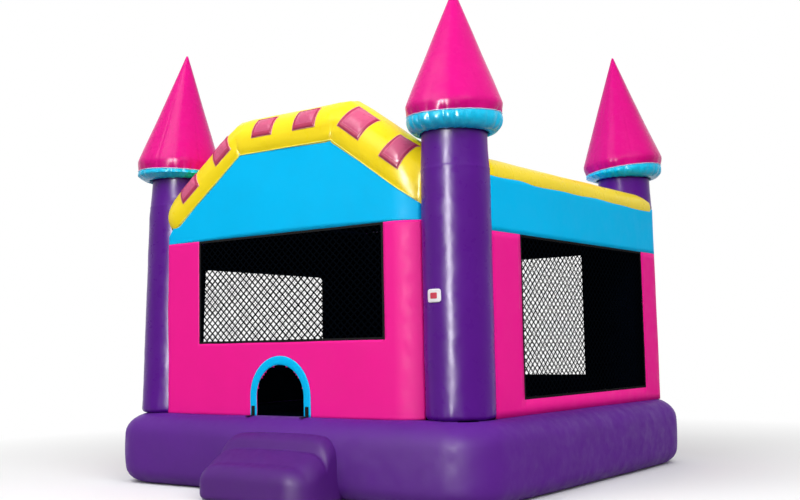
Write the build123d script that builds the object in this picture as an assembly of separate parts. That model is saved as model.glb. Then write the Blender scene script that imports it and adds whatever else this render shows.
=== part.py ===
from build123d import *
import os
from math import asin, cos, degrees, radians, sin, sqrt, tan

# Castle bounce house: an air-filled ring and floor, four turret columns, sheet walls with net
# windows, air-filled beams and a roof.
# Frame: origin on the ground at the centre of the four columns, +X right and -Y front, +Z up.
# All sizes are in millimetres. Air-filled pieces are skins around their air, and open where
# the air passes from one to the next.

# ---- driving sizes -------------------------------------------------------------------------
skin = 12                  # wall of every air-filled piece
sheet = 8                  # single-layer wall, valance and roof vinyl
net_thickness = 3
seam_gap = 0.3             # clearance where one piece seats on another

# base ring and floor
base_half = 2270           # centre of the house to the outer side of the ring
base_height = 707
base_width = 830           # width of the ring's tube
base_corner = 400          # plan radius of the ring's corners
base_top_round = 200
base_bottom_round = 110
base_inner_round = 60
floor_height = 500
floor_channels = 7
channel_crown = 30
baffle = 8                 # walls between the floor's channels

# columns and turrets
column_inset = 492         # outer side of the ring to a column's axis, along X and along Y
column_radius = 305
column_top = 3198
column_end_round = 45
collar_height = 160
collar_swell = 0.74        # share of a collar's overhang that it reaches half way up
turret_radius = 439
cone_height = 1185
cone_tip_radius = 16
cone_lean = 64             # how far a cone's tip leans towards the middle, along X and along Y

# walls and valances
wall_depth = 272           # column axis plane to the outer face of a wall
wrap_angle = 30            # how far a side wall turns round its rear column
front_wall_top = 2445
side_wall_top = 2331
back_wall_top = 2415

# windows: a gap runs from a column's axis to the window's edge
front_window_gap = 604
front_window_sill = 1405
right_window_front_gap = 622
right_window_back_gap = 311
right_window_sill = 846
left_window_front_gap = 478
left_window_back_gap = 823
left_window_sill = 1405
left_window_top = 2270
back_window_gap = 678
back_window_sill = 947

# door
door_centre = -78
door_width = 599
door_height = 484          # above the base ring
trim_width = 85
trim_thickness = 6
tab_width = 42
tab_thickness = 5
tab_rise = 95              # height of a tab above the base ring
tab_reach = 90             # length of a tab over the base ring

# beams and roof
beam_radius = 150
beam_seam_height = 2828    # top edge of the side valances
beam_proud = 1.5           # how far a beam stands out past its sheet
beam_end_round = 70
beam_overrun = 84          # side beam past the rear column's axis
arch_radius = 270
arch_proud = 20
arch_knee = 588            # centre to a knee, along the seam of the gable panel
arch_seam_height = 3264    # top edge of the gable panel
arch_slope = 35.4          # degrees
roof_crown = 90

# square pads on the arch
pad_length = 275
pad_arc = 58               # degrees round the tube
pad_tilt = 37              # degrees from the tube's front up to the pad's middle
pad_thickness = 14
slope_pad_places = (215, 730)   # knee to a pad's middle, down each slope
top_pad_place = 255             # centre to a pad's middle, on the level stretch

# entry step
step_centre = 160
step_width = 1300
step_depth = 500
step_back_height = 578
step_front_height = 305
step_roll = 105            # depth of the roll that joins the step to the base ring
step_swell = 26
step_nose_round = 115
step_side_round = 60

# anchor straps and rings, on the left and back sides
anchor_places = (-1300, 1300)
strap_width = 50
strap_thickness = 3
strap_length = 190
loop_height = 118          # height of a ring's hinge bar above the ground
ring_wire_radius = 4
ring_inner_width = 54
ring_inner_drop = 44
ring_fit = 0.4             # clearance round the hinge bar in its loop

# inflation sleeve
sleeve_place = -900
sleeve_bore_radius = 130
sleeve_wall = 4
sleeve_length = 700
sleeve_height = 250        # height of its axis
band_width = 50
band_thickness = 3
band_place = 520           # base ring to the band's middle
buckle_length = 62
buckle_width = 46
buckle_thickness = 14
buckle_corner = 7.7        # plan radius of the buckle's corners
buckle_edge = 2.8          # round along its top

# deflation zip
zip_place = 1000
zip_length = 640
zip_height = 353
tape_width = 60
tape_thickness = 3
chain_width = 9
chain_thickness = 4
slider_length = 34
slider_width = 24
slider_wall = 4
slider_fit = 0.4
zip_end_gap = 12           # bare chain beyond the slider at each end
ear_setback = 4            # slider's end to its ears
ear_length = 10
pull_length = 52
pull_width = 16
pull_thickness = 3.2
pull_end_round = 7
pull_pin_radius = 2.2
pull_fit = 0.1

# ---- derived places ------------------------------------------------------------------------
ring_inner = base_half - base_width
column_centre = base_half - column_inset       # centre of the house to a column's axis
wall_face = column_centre + wall_depth
floor_half = ring_inner - seam_gap
floor_corner = base_corner / 2
seam_height = column_top + collar_height
tip_height = seam_height + cone_height
beam_lift = sqrt(beam_radius**2 - (beam_radius - beam_proud)**2)
beam_height = beam_seam_height + beam_lift
beam_inset = beam_proud + wall_depth - beam_radius     # column axis plane to a beam's axis
arch_lift = sqrt(arch_radius**2 - (arch_radius - arch_proud)**2)
arch_height = arch_seam_height + arch_lift
arch_y = -(wall_face + arch_proud - arch_radius)
arch_knee_axis = arch_knee + arch_lift * tan(radians(arch_slope) / 2)
arch_drop = (column_centre - arch_knee_axis) * tan(radians(arch_slope))
door_spring = base_height + door_height - door_width / 2
front_window_half = column_centre - front_window_gap
back_window_half = column_centre - back_window_gap
corner_signs = {"front_left": (-1, -1), "front_right": (1, -1),
                "back_left": (-1, 1), "back_right": (1, 1)}
beyond = 4 * base_half     # longer than anything it cuts


def block(x0, x1, y0, y1, z0, z1):
    """A box between two corners."""
    return Pos((x0 + x1) / 2, (y0 + y1) / 2, (z0 + z1) / 2) * Box(x1 - x0, y1 - y0, z1 - z0)


def upright(x, y, radius, z0, z1):
    """A vertical cylinder."""
    return Pos(x, y, (z0 + z1) / 2) * Cylinder(radius, z1 - z0)


def every_column():
    """The room that the four columns take, for cutting what meets them."""
    radius = column_radius + seam_gap
    return [upright(sx * column_centre, sy * column_centre, radius, 0, column_top)
            for sx, sy in corner_signs.values()]


# ---- base ring and floor -------------------------------------------------------------------
def rounded_slab(half, corner, z0, z1, top_round, bottom_round):
    """A square slab with rounded plan corners and rounded top and bottom edges."""
    slab = extrude(Pos(0, 0, z0) * RectangleRounded(2 * half, 2 * half, corner), z1 - z0)
    slab = fillet(slab.edges().group_by(Axis.Z)[-1], top_round)
    return fillet(slab.edges().group_by(Axis.Z)[0], bottom_round)


def base_ring(inset):
    """The ring's solid, with every face moved in by inset."""
    outer = rounded_slab(base_half - inset, base_corner - inset, inset, base_height - inset,
                         base_top_round - inset, base_bottom_round - inset)
    hollow_half = ring_inner + inset
    well = extrude(RectangleRounded(2 * hollow_half, 2 * hollow_half, floor_corner + inset),
                   2 * base_height)
    ring = outer - well
    middle = ring_inner + base_width / 2
    top = ring.edges().group_by(Axis.Z)[-1]
    rim = top.filter_by(lambda edge: max(abs(edge.center().X), abs(edge.center().Y)) < middle)
    return fillet(rim, base_inner_round - inset)


def base_room():
    """The room that the base ring takes, for cutting what meets its outside."""
    return rounded_slab(base_half + seam_gap, base_corner + seam_gap, 0, base_height + seam_gap,
                        base_top_round + seam_gap, base_bottom_round)


def base_tubes():
    """Four straight tubes, mitred at the corners so that the air runs round the ring."""
    ring = base_ring(0) - base_ring(skin)
    reach = 2 * base_half
    tubes = {}
    for turn, side in enumerate(("front", "right", "back", "left")):
        wedge = extrude(make_face(Polyline((0, 0), (-reach, -reach), (reach, -reach), close=True)),
                        base_height)
        tubes[f"base_tube_{side}"] = ring & (Rot(0, 0, 90 * turn) * wedge)
    return tubes


def channel_section(left, right, low, high, crown):
    """A channel's section: flat below and crowned above."""
    edges = Polyline((left, high), (left, low), (right, low), (right, high))
    lid = ThreePointArc((right, high), ((left + right) / 2, high + crown), (left, high))
    return make_face([*edges.edges(), lid])


def bounce_floor():
    """The mattress: crowned channels, front to back, with a baffle between neighbours."""
    pitch = 2 * floor_half / floor_channels
    body, air = None, []
    for index in range(floor_channels):
        left = -floor_half + index * pitch
        outline = Plane.XZ * channel_section(left, left + pitch, 0, floor_height, channel_crown)
        channel = extrude(outline, floor_half, both=True)
        body = channel if body is None else body + channel
        near = skin if index == 0 else baffle / 2
        far = skin if index == floor_channels - 1 else baffle / 2
        hollow = Plane.XZ * channel_section(left + near, left + pitch - far, skin,
                                            floor_height - skin, channel_crown)
        air.append(extrude(hollow, floor_half - skin, both=True))
    corners = extrude(RectangleRounded(2 * floor_half, 2 * floor_half, floor_corner),
                      floor_height + channel_crown)
    return (body & corners) - air


# ---- columns and turrets -------------------------------------------------------------------
def column(sx, sy):
    """A closed upright tube with rounded ends, standing on the base ring."""
    def tube(inset):
        z0, z1 = base_height + seam_gap + inset, column_top - inset
        solid = upright(0, 0, column_radius - inset, z0, z1)
        ends = solid.edges().filter_by(GeomType.CIRCLE)
        return fillet(ends, column_end_round - inset)
    return Pos(sx * column_centre, sy * column_centre) * (tube(0) - tube(skin))


def collar(sx, sy):
    """The gathered underside of a turret: a skin that swells out from the column's top."""
    z0 = column_top - column_end_round
    half_way = (z0 + seam_height) / 2
    inner = column_radius + seam_gap
    swell = inner + (turret_radius - inner) * collar_swell
    outer_curve = ThreePointArc((inner + sheet, z0), (swell, half_way),
                                (turret_radius, seam_height))
    inner_curve = ThreePointArc((turret_radius - skin, seam_height), (swell - skin, half_way),
                                (inner, z0))
    lip = Line((turret_radius, seam_height), (turret_radius - skin, seam_height))
    foot = Line((inner, z0), (inner + sheet, z0))
    profile = Plane.XZ * make_face([outer_curve, lip, inner_curve, foot])
    return Pos(sx * column_centre, sy * column_centre) * revolve(profile, Axis.Z)


def cone(sx, sy):
    """A turret's pointed skin. Its tip leans towards the middle of the house."""
    def spike(inset):
        foot = Plane((0, 0, seam_height)) * Circle(turret_radius - inset)
        tip_plane = Plane((-sx * cone_lean, -sy * cone_lean, tip_height - 2 * inset))
        tip = tip_plane * Circle(cone_tip_radius - inset)
        return loft([foot, tip])
    return Pos(sx * column_centre, sy * column_centre) * (spike(0) - spike(skin))


# ---- beams ---------------------------------------------------------------------------------
def arch_path():
    """The front arch's axis, from column to column."""
    foot_height = arch_height - arch_drop
    return Polyline((-column_centre, arch_y, foot_height), (-arch_knee_axis, arch_y, arch_height),
                    (arch_knee_axis, arch_y, arch_height), (column_centre, arch_y, foot_height))


def arch_tube(radius):
    """A solid round bar along the arch, mitred at its two knees."""
    path = arch_path()
    start = Plane(origin=path @ 0, z_dir=path % 0)
    return sweep(start * Circle(radius), path, transition=Transition.RIGHT)


def front_arch_beam():
    """The arch's skin. It ends where the front wall's sheet meets the columns."""
    end = column_centre - sqrt(column_radius**2 - wall_depth**2)
    tube = arch_tube(arch_radius) - arch_tube(arch_radius - skin) - every_column()
    return tube & block(-end, end, -beyond, beyond, 0, beyond)


def side_normal():
    """The outward direction of the right wall, which leaves the front column at wall_depth
    and lies on the outside of the rear column."""
    front_depth = wall_depth - sheet
    angle = -asin((column_radius + seam_gap - front_depth) / (2 * column_centre))
    return Vector(cos(angle), sin(angle)), degrees(angle)


def side_band(inner, outer, z0, z1):
    """A length of the right wall's curved plan, between two distances outside its inner face."""
    normal, angle = side_normal()
    rear = Vector(column_centre, column_centre)
    front = Vector(column_centre, -column_centre)
    face_radius = column_radius + seam_gap
    front_depth = wall_depth - sheet
    lines, ends = [], []
    for shift in (inner, outer):
        radius = face_radius + shift
        run = Line(front + normal * (front_depth + shift), rear + normal * radius)
        turn = CenterArc(rear, radius, angle, wrap_angle)
        lines += [run, turn]
        ends.append((run @ 0, turn @ 1))
    caps = [Line(ends[0][0], ends[1][0]), Line(ends[0][1], ends[1][1])]
    return extrude(Pos(0, 0, z0) * make_face([*lines, *caps]), z1 - z0)


def side_beam_bar(radius, setback):
    """A solid bar along the right beam's axis, set back at its rear end."""
    normal, angle = side_normal()
    along = Vector(-normal.Y, normal.X)
    rise = Vector(0, 0, beam_height)
    front = Vector(column_centre, -column_centre) + normal * beam_inset + rise
    length = 2 * column_centre * cos(radians(angle)) + beam_overrun - setback
    bar = extrude(Plane(front, z_dir=along) * Circle(radius), length)
    tail = bar.edges().filter_by(GeomType.CIRCLE).sort_by(Axis.Y)[-1]
    return fillet(tail, beam_end_round - setback)


def right_beam():
    return side_beam_bar(beam_radius, 0) - side_beam_bar(beam_radius - skin, skin) - every_column()


def back_beam_bar(radius):
    y = column_centre + beam_inset
    return Pos(0, y, beam_height) * Rot(0, 90, 0) * Cylinder(radius, 2 * column_centre)


def back_beam():
    return back_beam_bar(beam_radius) - back_beam_bar(beam_radius - skin) - every_column()


# ---- walls, valances and nets --------------------------------------------------------------
def flat_band(direction, z0, z1, thickness=sheet):
    """The front wall's sheet (direction -1) or the back wall's (+1), from column to column."""
    setback = (sheet - thickness) / 2
    near = direction * (wall_face - setback)
    far = direction * (wall_face - setback - thickness)
    return block(-column_centre, column_centre, min(near, far), max(near, far), z0, z1)


def window_box(direction, half, z0, z1):
    y = direction * wall_face
    return block(-half, half, y - 2 * wall_depth, y + 2 * wall_depth, z0, z1)


def side_window_box(y0, y1, z0, z1):
    return block(column_centre, beyond, y0, y1, z0, z1)


def arch_opening(half_width, z0, spring):
    """A round-topped doorway, as a solid that runs through the front wall."""
    sides = Polyline((-half_width, spring), (-half_width, z0), (half_width, z0),
                     (half_width, spring))
    top = ThreePointArc((half_width, spring), (0, spring + half_width), (-half_width, spring))
    shape = make_face([*sides.edges(), top])
    face = Plane((door_centre, 0, 0), x_dir=(1, 0, 0), z_dir=(0, -1, 0))
    return extrude(face * shape, beyond)


def front_wall():
    wall = flat_band(-1, base_height + seam_gap, front_wall_top)
    wall -= window_box(-1, front_window_half, front_window_sill, front_wall_top)
    wall -= arch_opening(door_width / 2, 0, door_spring)
    return wall - every_column()


def back_wall():
    wall = flat_band(1, base_height + seam_gap, back_wall_top)
    return wall - window_box(1, back_window_half, back_window_sill, back_wall_top) - every_column()


def side_wall(y0, y1, z0, z1):
    """A right-hand wall with its window. The left wall is one of these, mirrored."""
    wall = side_band(0, sheet, base_height + seam_gap, side_wall_top)
    return wall - side_window_box(y0, y1, z0, z1) - every_column()


def side_net(y0, y1, z0, z1):
    setback = (sheet - net_thickness) / 2
    band = side_band(setback, setback + net_thickness, z0, z1)
    return band & side_window_box(y0, y1, z0, z1)


def side_valance():
    """The blue sheet above a side wall, sewn to the beam above it."""
    band = side_band(0, sheet, side_wall_top, beam_height)
    return band - side_beam_bar(beam_radius + seam_gap, 0) - every_column()


def back_valance():
    band = flat_band(1, back_wall_top, beam_height)
    return band - back_beam_bar(beam_radius + seam_gap) - every_column()


def front_gable_panel():
    """The blue sheet under the arch. Its top follows the arch's axis and ends at the tube."""
    half = column_centre
    top = arch_path()
    foot = Vector(0, 0, front_wall_top)
    corners = [Vector(p.X, 0, p.Z) for p in top.vertices()]
    left, right = Vector(-half, 0, 0) + foot, Vector(half, 0, 0) + foot
    outline = make_face(Polyline(left, *corners, right, close=True))
    panel = Pos(0, -(wall_face - sheet), 0) * extrude(outline, sheet, dir=(0, -1, 0))
    return panel - arch_tube(arch_radius + seam_gap) - every_column()


def roof_cover():
    """A low-crowned sheet between the beams, at the height of their axes."""
    half = column_centre + beam_inset - beam_radius - seam_gap
    front = -(wall_face - sheet - seam_gap)
    def crown(z):
        return ThreePointArc((-half, z), (0, z + roof_crown), (half, z))
    low, high = crown(beam_height), crown(beam_height + sheet)
    sides = [Line(low @ 0, high @ 0), Line(low @ 1, high @ 1)]
    section = Plane((0, half, 0), x_dir=(1, 0, 0), z_dir=(0, -1, 0)) * make_face([low, high, *sides])
    roof = extrude(section, half - front) - arch_tube(arch_radius + seam_gap) - every_column()
    return roof.solids().sort_by(SortBy.VOLUME)[-1]    # without the scraps outside the columns


# ---- arch pads, door trim and tabs ---------------------------------------------------------
def arch_pad(centre, axis):
    """A square pad on the front of the arch's tube, across a straight stretch of it."""
    bar = Plane(centre - axis * (pad_length / 2), z_dir=axis)
    shell = extrude(bar * Circle(arch_radius + pad_thickness), pad_length)
    shell -= extrude(bar * Circle(arch_radius + seam_gap), pad_length)
    front = Vector(0, -1, 0)
    upward = axis.cross(front) * -1
    half = radians(pad_arc / 2)
    tilt = radians(pad_tilt)
    middle = front * cos(tilt) + upward * sin(tilt)
    side = front * -sin(tilt) + upward * cos(tilt)
    reach = 2 * arch_radius
    points = [Vector(0, 0, 0), (middle * cos(half) + side * sin(half)) * reach,
              (middle * cos(half) - side * sin(half)) * reach]
    corner = [centre - axis * pad_length + p for p in points]
    wedge = extrude(make_face(Polyline(*corner, close=True)), 2 * pad_length, dir=axis)
    return shell & wedge


def arch_pads():
    """Two pads on each straight stretch of the arch."""
    slope = radians(arch_slope)
    pads = []
    for side in (-1, 1):
        knee = Vector(side * arch_knee_axis, arch_y, arch_height)
        down = Vector(side * cos(slope), 0, -sin(slope))
        axis = down * side
        pads += [arch_pad(knee + down * place, axis) for place in slope_pad_places]
        pads.append(arch_pad(Vector(side * top_pad_place, arch_y, arch_height), Vector(1, 0, 0)))
    return Compound(children=pads)


def door_trim():
    """A band round the doorway, sewn on the outside of the front wall."""
    foot = base_height + seam_gap
    band = arch_opening(door_width / 2 + trim_width, foot, door_spring)
    band -= arch_opening(door_width / 2, 0, door_spring)
    face = -(wall_face + seam_gap)
    return band & block(-beyond, beyond, face - trim_thickness, face, 0, front_wall_top)


def door_tabs():
    """Two webbing tabs that hold the trim's feet and lie over the base ring's edge."""
    tabs = []
    start = -(wall_face + 2 * seam_gap + trim_thickness)
    low = base_height + seam_gap
    for side in (-1, 1):
        x = door_centre + side * (door_width + trim_width) / 2
        upper = block(x - tab_width / 2, x + tab_width / 2, start - tab_thickness, start,
                      low, base_height + tab_rise)
        lower = block(x - tab_width / 2, x + tab_width / 2, start - tab_reach, start,
                      low, low + tab_thickness)
        tabs.append((upper + lower) - base_room())
    return Compound(children=tabs)


# ---- entry step ----------------------------------------------------------------------------
def entry_step():
    """A pillow in front of the door, lower at its nose, with a roll along the base ring."""
    def pillow(inset):
        back = -base_half + base_top_round - inset
        roll = -base_half - step_roll
        nose = -base_half - step_depth + inset
        slope = (step_back_height - step_front_height) / step_depth
        roll_height = step_back_height - slope * step_roll
        start = (back, step_back_height - inset)
        join = (-base_half, step_back_height - inset)
        crease = (roll, roll_height - step_swell - inset)
        brow = (nose + step_nose_round, step_front_height + slope * step_nose_round - inset)
        lip = (nose, brow[1] - step_nose_round)
        first = ThreePointArc(join, ((join[0] + crease[0]) / 2, (join[1] + crease[1]) / 2
                                     + step_swell), crease)
        second = ThreePointArc(crease, ((crease[0] + brow[0]) / 2, (crease[1] + brow[1]) / 2
                                        + step_swell), brow)
        cut = step_nose_round * (1 - cos(radians(45)))
        curve = ThreePointArc(brow, (nose + cut, brow[1] - cut), lip)
        rest = Polyline(lip, (nose, inset), (back, inset), start, join)
        outline = make_face([first, second, curve, *rest.edges()])
        section = Plane((step_centre, 0, 0), x_dir=(0, 1, 0), z_dir=(1, 0, 0)) * outline
        return extrude(section, step_width / 2 - inset, both=True)
    solid = pillow(0)
    rims = solid.edges().filter_by(Plane.YZ)
    rims = rims.filter_by(lambda edge: edge.center().Z > step_front_height / 2)
    return fillet(rims, step_side_round) - pillow(skin) - base_room()


# ---- anchors -------------------------------------------------------------------------------
def anchor_frame(side, place):
    """A plane on the base ring's side: its X runs along the side and its Z points outwards."""
    if side == "back":
        return Plane((place, base_half, 0), x_dir=(-1, 0, 0), z_dir=(0, 1, 0))
    return Plane((-base_half, place, 0), x_dir=(0, -1, 0), z_dir=(-1, 0, 0))


def anchor_axis_offset():
    """Distance from the base ring's side to a ring's hinge bar."""
    return seam_gap + strap_thickness + ring_fit + ring_wire_radius


def anchor_strap():
    """A sewn strap with a loop at its foot, drawn on the side of the ring."""
    bore = ring_wire_radius + ring_fit
    out = anchor_axis_offset()
    tail = block(-strap_width / 2, strap_width / 2, loop_height, loop_height + strap_length,
                 seam_gap, seam_gap + strap_thickness)
    loop = Pos(0, loop_height, out) * Rot(0, 90, 0) * Cylinder(bore + strap_thickness, strap_width)
    hole = Pos(0, loop_height, out) * Rot(0, 90, 0) * Cylinder(bore, 2 * strap_width)
    cheek = block(-strap_width / 2, strap_width / 2, loop_height,
                  loop_height + bore + strap_thickness, seam_gap, out)
    return tail + loop + cheek - hole


def anchor_ring():
    """A D-ring: a hinge bar along X and a bow that hangs below it."""
    half = ring_inner_width / 2 + ring_wire_radius
    drop = ring_inner_drop + 2 * ring_wire_radius
    straight = drop - half
    legs = [Line((half, 0), (half, -straight)), Line((-half, -straight), (-half, 0))]
    bow = ThreePointArc((half, -straight), (0, -drop), (-half, -straight))
    path = Wire([legs[0], bow, legs[1], Line((-half, 0), (half, 0))])
    start = Plane(origin=(0, 0, 0), z_dir=(1, 0, 0))
    ring = sweep(start * Circle(ring_wire_radius), path, transition=Transition.RIGHT)
    return Pos(0, loop_height, anchor_axis_offset()) * ring


# ---- inflation sleeve ----------------------------------------------------------------------
def inflation_sleeve():
    """An open tube that takes the blower's outlet, sewn to the back of the base ring."""
    where = Pos(sleeve_place, base_half + seam_gap + sleeve_length / 2, sleeve_height)
    tube = Cylinder(sleeve_bore_radius + sleeve_wall, sleeve_length)
    return where * Rot(90, 0, 0) * (tube - Cylinder(sleeve_bore_radius, sleeve_length))


def sleeve_band():
    """A webbing band that cinches the sleeve on the blower's outlet."""
    inner = sleeve_bore_radius + sleeve_wall + seam_gap
    where = Pos(sleeve_place, base_half + band_place, sleeve_height) * Rot(90, 0, 0)
    return where * (Cylinder(inner + band_thickness, band_width) - Cylinder(inner, band_width))


def sleeve_buckle():
    """The band's side-release buckle, on top of the sleeve."""
    foot = sleeve_height + sleeve_bore_radius + sleeve_wall + 2 * seam_gap + band_thickness
    body = Pos(sleeve_place, base_half + band_place, foot + buckle_thickness / 2) * Box(
        buckle_length, buckle_width, buckle_thickness)
    body = fillet(body.edges().filter_by(Axis.Z), buckle_corner)
    return fillet(body.edges().group_by(Axis.Z)[-1], buckle_edge)


# ---- deflation zip -------------------------------------------------------------------------
def on_back(depth, part):
    """Places a piece drawn in the XY plane on the ring's back side, depth outside it."""
    return Plane((zip_place, base_half + depth, zip_height), x_dir=(-1, 0, 0),
                 z_dir=(0, 1, 0)) * part


def zip_tape():
    return on_back(seam_gap, Box(zip_length, tape_width, tape_thickness,
                                 align=(Align.CENTER, Align.CENTER, Align.MIN)))


def zip_chain():
    """The closed chain of teeth, with a stop at each end."""
    low = 2 * seam_gap + tape_thickness
    chain = Box(zip_length - 2 * zip_end_gap, chain_width, chain_thickness,
                align=(Align.CENTER, Align.CENTER, Align.MIN))
    return on_back(low, chain)


def slider_start():
    """The slider's place at the closed end of the zip, along the zip."""
    return -(zip_length / 2 - 2 * zip_end_gap - slider_length / 2)


def pull_pin_height():
    """Distance of the pull's pin outside the ring's side."""
    low = 2 * seam_gap + tape_thickness
    return low + chain_thickness + slider_fit + slider_wall + pull_pin_radius + pull_thickness


def zip_slider():
    """A body that straddles the chain, with two ears that hold the pull's pin."""
    low = 2 * seam_gap + tape_thickness
    base = low + chain_thickness + slider_fit
    top = base + slider_wall
    half = slider_width / 2
    groove = chain_width / 2 + slider_fit
    x0, x1 = slider_start() - slider_length / 2, slider_start() + slider_length / 2
    body = block(x0, x1, -half, half, low, top)
    body = fillet(body.edges().filter_by(Axis.Z).group_by(Axis.X)[-1], half / 2)
    body -= block(x0 - slider_length, x1 + slider_length, -groove, groove, 0, base)
    pin_z = pull_pin_height()
    reach = pull_width / 2 + slider_fit
    for side in (-1, 1):
        ear = block(x0 + ear_setback, x0 + ear_setback + ear_length, 0, half - reach, top,
                    pin_z + ear_length / 2)
        body += Pos(0, reach if side > 0 else -half, 0) * ear
    pin = Rot(90, 0, 0) * Cylinder(pull_pin_radius, 2 * reach)
    return on_back(0, body + Pos(x0 + ear_setback + ear_length / 2, 0, pin_z) * pin)


def zip_pull():
    """The pull: an eye on the slider's pin and a flat tongue with a rounded end."""
    x = slider_start() - slider_length / 2 + ear_setback + ear_length / 2
    z = pull_pin_height()
    bore = pull_pin_radius + pull_fit
    eye = Pos(x, 0, z) * Rot(90, 0, 0) * Cylinder(bore + pull_thickness / 2, pull_width)
    tongue = block(x, x + pull_length, -pull_width / 2, pull_width / 2,
                   z - pull_thickness / 2, z + pull_thickness / 2)
    tongue = fillet(tongue.edges().filter_by(Axis.Z).group_by(Axis.X)[-1], pull_end_round)
    hole = Pos(x, 0, z) * Rot(90, 0, 0) * Cylinder(bore, 2 * pull_width)
    return on_back(0, eye + tongue - hole)


# ---- assembly ------------------------------------------------------------------------------
def all_parts():
    parts = base_tubes()
    parts["bounce_floor"] = bounce_floor()
    parts["entry_step"] = entry_step()
    for corner, (sx, sy) in corner_signs.items():
        parts[f"column_{corner}"] = column(sx, sy)
        parts[f"turret_collar_{corner}"] = collar(sx, sy)
        parts[f"turret_cone_{corner}"] = cone(sx, sy)
    parts["front_arch_beam"] = front_arch_beam()
    parts["right_beam"] = right_beam()
    parts["left_beam"] = mirror(parts["right_beam"], Plane.YZ)
    parts["back_beam"] = back_beam()
    parts["arch_pads"] = arch_pads()

    right_window = (right_window_front_gap - column_centre, column_centre - right_window_back_gap,
                    right_window_sill, side_wall_top)
    left_window = (left_window_front_gap - column_centre, column_centre - left_window_back_gap,
                   left_window_sill, left_window_top)
    parts["front_wall"] = front_wall()
    parts["back_wall"] = back_wall()
    parts["right_wall"] = side_wall(*right_window)
    parts["left_wall"] = mirror(side_wall(*left_window), Plane.YZ)
    front_net = flat_band(-1, front_window_sill, front_wall_top, net_thickness)
    back_net = flat_band(1, back_window_sill, back_wall_top, net_thickness)
    parts["front_net"] = front_net & window_box(-1, front_window_half, 0, front_wall_top)
    parts["back_net"] = back_net & window_box(1, back_window_half, 0, back_wall_top)
    parts["right_net"] = side_net(*right_window)
    parts["left_net"] = mirror(side_net(*left_window), Plane.YZ)
    parts["front_gable_panel"] = front_gable_panel()
    parts["right_valance"] = side_valance()
    parts["left_valance"] = mirror(parts["right_valance"], Plane.YZ)
    parts["back_valance"] = back_valance()
    parts["roof_cover"] = roof_cover()
    parts["door_trim"] = door_trim()
    parts["door_tabs"] = door_tabs()

    straps = []
    for side in ("left", "back"):
        for number, place in enumerate(anchor_places, 1):
            frame = anchor_frame(side, place)
            straps.append(frame * anchor_strap())
            parts[f"anchor_ring_{side}_{number}"] = frame * anchor_ring()
    parts["anchor_straps"] = Compound(children=straps)
    parts["inflation_sleeve"] = inflation_sleeve()
    parts["sleeve_band"] = sleeve_band()
    parts["sleeve_buckle"] = sleeve_buckle()
    parts["zip_tape"] = zip_tape()
    parts["zip_chain"] = zip_chain()
    parts["zip_slider"] = zip_slider()
    parts["zip_pull"] = zip_pull()
    return parts


os.makedirs("parts", exist_ok=True)
for name, part in all_parts().items():
    export_step(part, f"parts/{name}.step")
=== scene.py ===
"""Looks of the castle bounce house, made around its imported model.

Metres in the model's own frame: +Z up, front at -Y, right at +X. Every size and place that the
model has is read from its nodes' boxes; the rest are the finish's own sizes, named below.
"""
from math import asin, atan2, ceil, cos, exp, floor, hypot, pi, radians, sin, sqrt, tan

import bpy
from mathutils import Matrix, Vector, noise


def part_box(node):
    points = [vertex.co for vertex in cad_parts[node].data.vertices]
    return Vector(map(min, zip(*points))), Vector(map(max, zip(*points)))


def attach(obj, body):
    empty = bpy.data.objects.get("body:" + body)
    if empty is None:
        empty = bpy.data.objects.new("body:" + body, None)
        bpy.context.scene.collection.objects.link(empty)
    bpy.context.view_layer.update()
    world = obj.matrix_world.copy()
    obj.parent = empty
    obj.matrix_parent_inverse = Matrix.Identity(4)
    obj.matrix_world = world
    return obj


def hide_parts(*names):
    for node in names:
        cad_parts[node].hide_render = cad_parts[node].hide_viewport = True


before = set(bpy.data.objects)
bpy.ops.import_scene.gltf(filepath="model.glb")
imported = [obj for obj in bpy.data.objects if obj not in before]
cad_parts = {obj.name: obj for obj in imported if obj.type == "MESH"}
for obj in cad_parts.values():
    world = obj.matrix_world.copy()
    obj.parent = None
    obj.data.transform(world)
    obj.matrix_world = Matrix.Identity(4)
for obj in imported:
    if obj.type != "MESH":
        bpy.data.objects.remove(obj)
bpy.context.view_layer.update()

# ---- places read from the model ------------------------------------------------------------
CORNERS = {"front_left": (-1, -1), "front_right": (1, -1), "back_left": (-1, 1), "back_right": (1, 1)}
floor_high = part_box("bounce_floor")[1]
ring_low, ring_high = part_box("base_tube_front")
column_low, column_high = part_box("column_front_right")
collar_low, collar_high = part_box("turret_collar_front_right")
cone_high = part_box("turret_cone_front_right")[1]
front_low, front_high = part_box("front_wall")
side_low, side_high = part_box("right_wall")
RING_HALF = -ring_low.y
RING_TOP = ring_high.z
RING_BORE = floor_high.x
COLUMN_RADIUS = (column_high.x - column_low.x) / 2
COLUMN_CENTRE = (column_high.x + column_low.x) / 2
COLUMN_TOP = column_high.z
TURRET_RADIUS = (collar_high.x - collar_low.x) / 2
SEAM_HEIGHT = collar_high.z
TIP_HEIGHT = cone_high.z
WALL_FACE = -front_low.y
FRONT_WALL_TOP = front_high.z
SIDE_WALL_TOP = side_high.z
WALL_TOPS = {"front": FRONT_WALL_TOP, "back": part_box("back_wall")[1].z, "left": SIDE_WALL_TOP,
             "right": SIDE_WALL_TOP}
GAP = 0.0003                 # clearance that the model leaves at its seams
ROOF_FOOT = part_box("roof_cover")[0].z
# how far out of a column's axis, on the diagonal, its side that faces the room reaches; that side is
# painted near-black as painted shade
ROOM_EDGE = {"front_left": 0.05, "front_right": -0.095, "back_left": 0.05, "back_right": 0.05}

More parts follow.
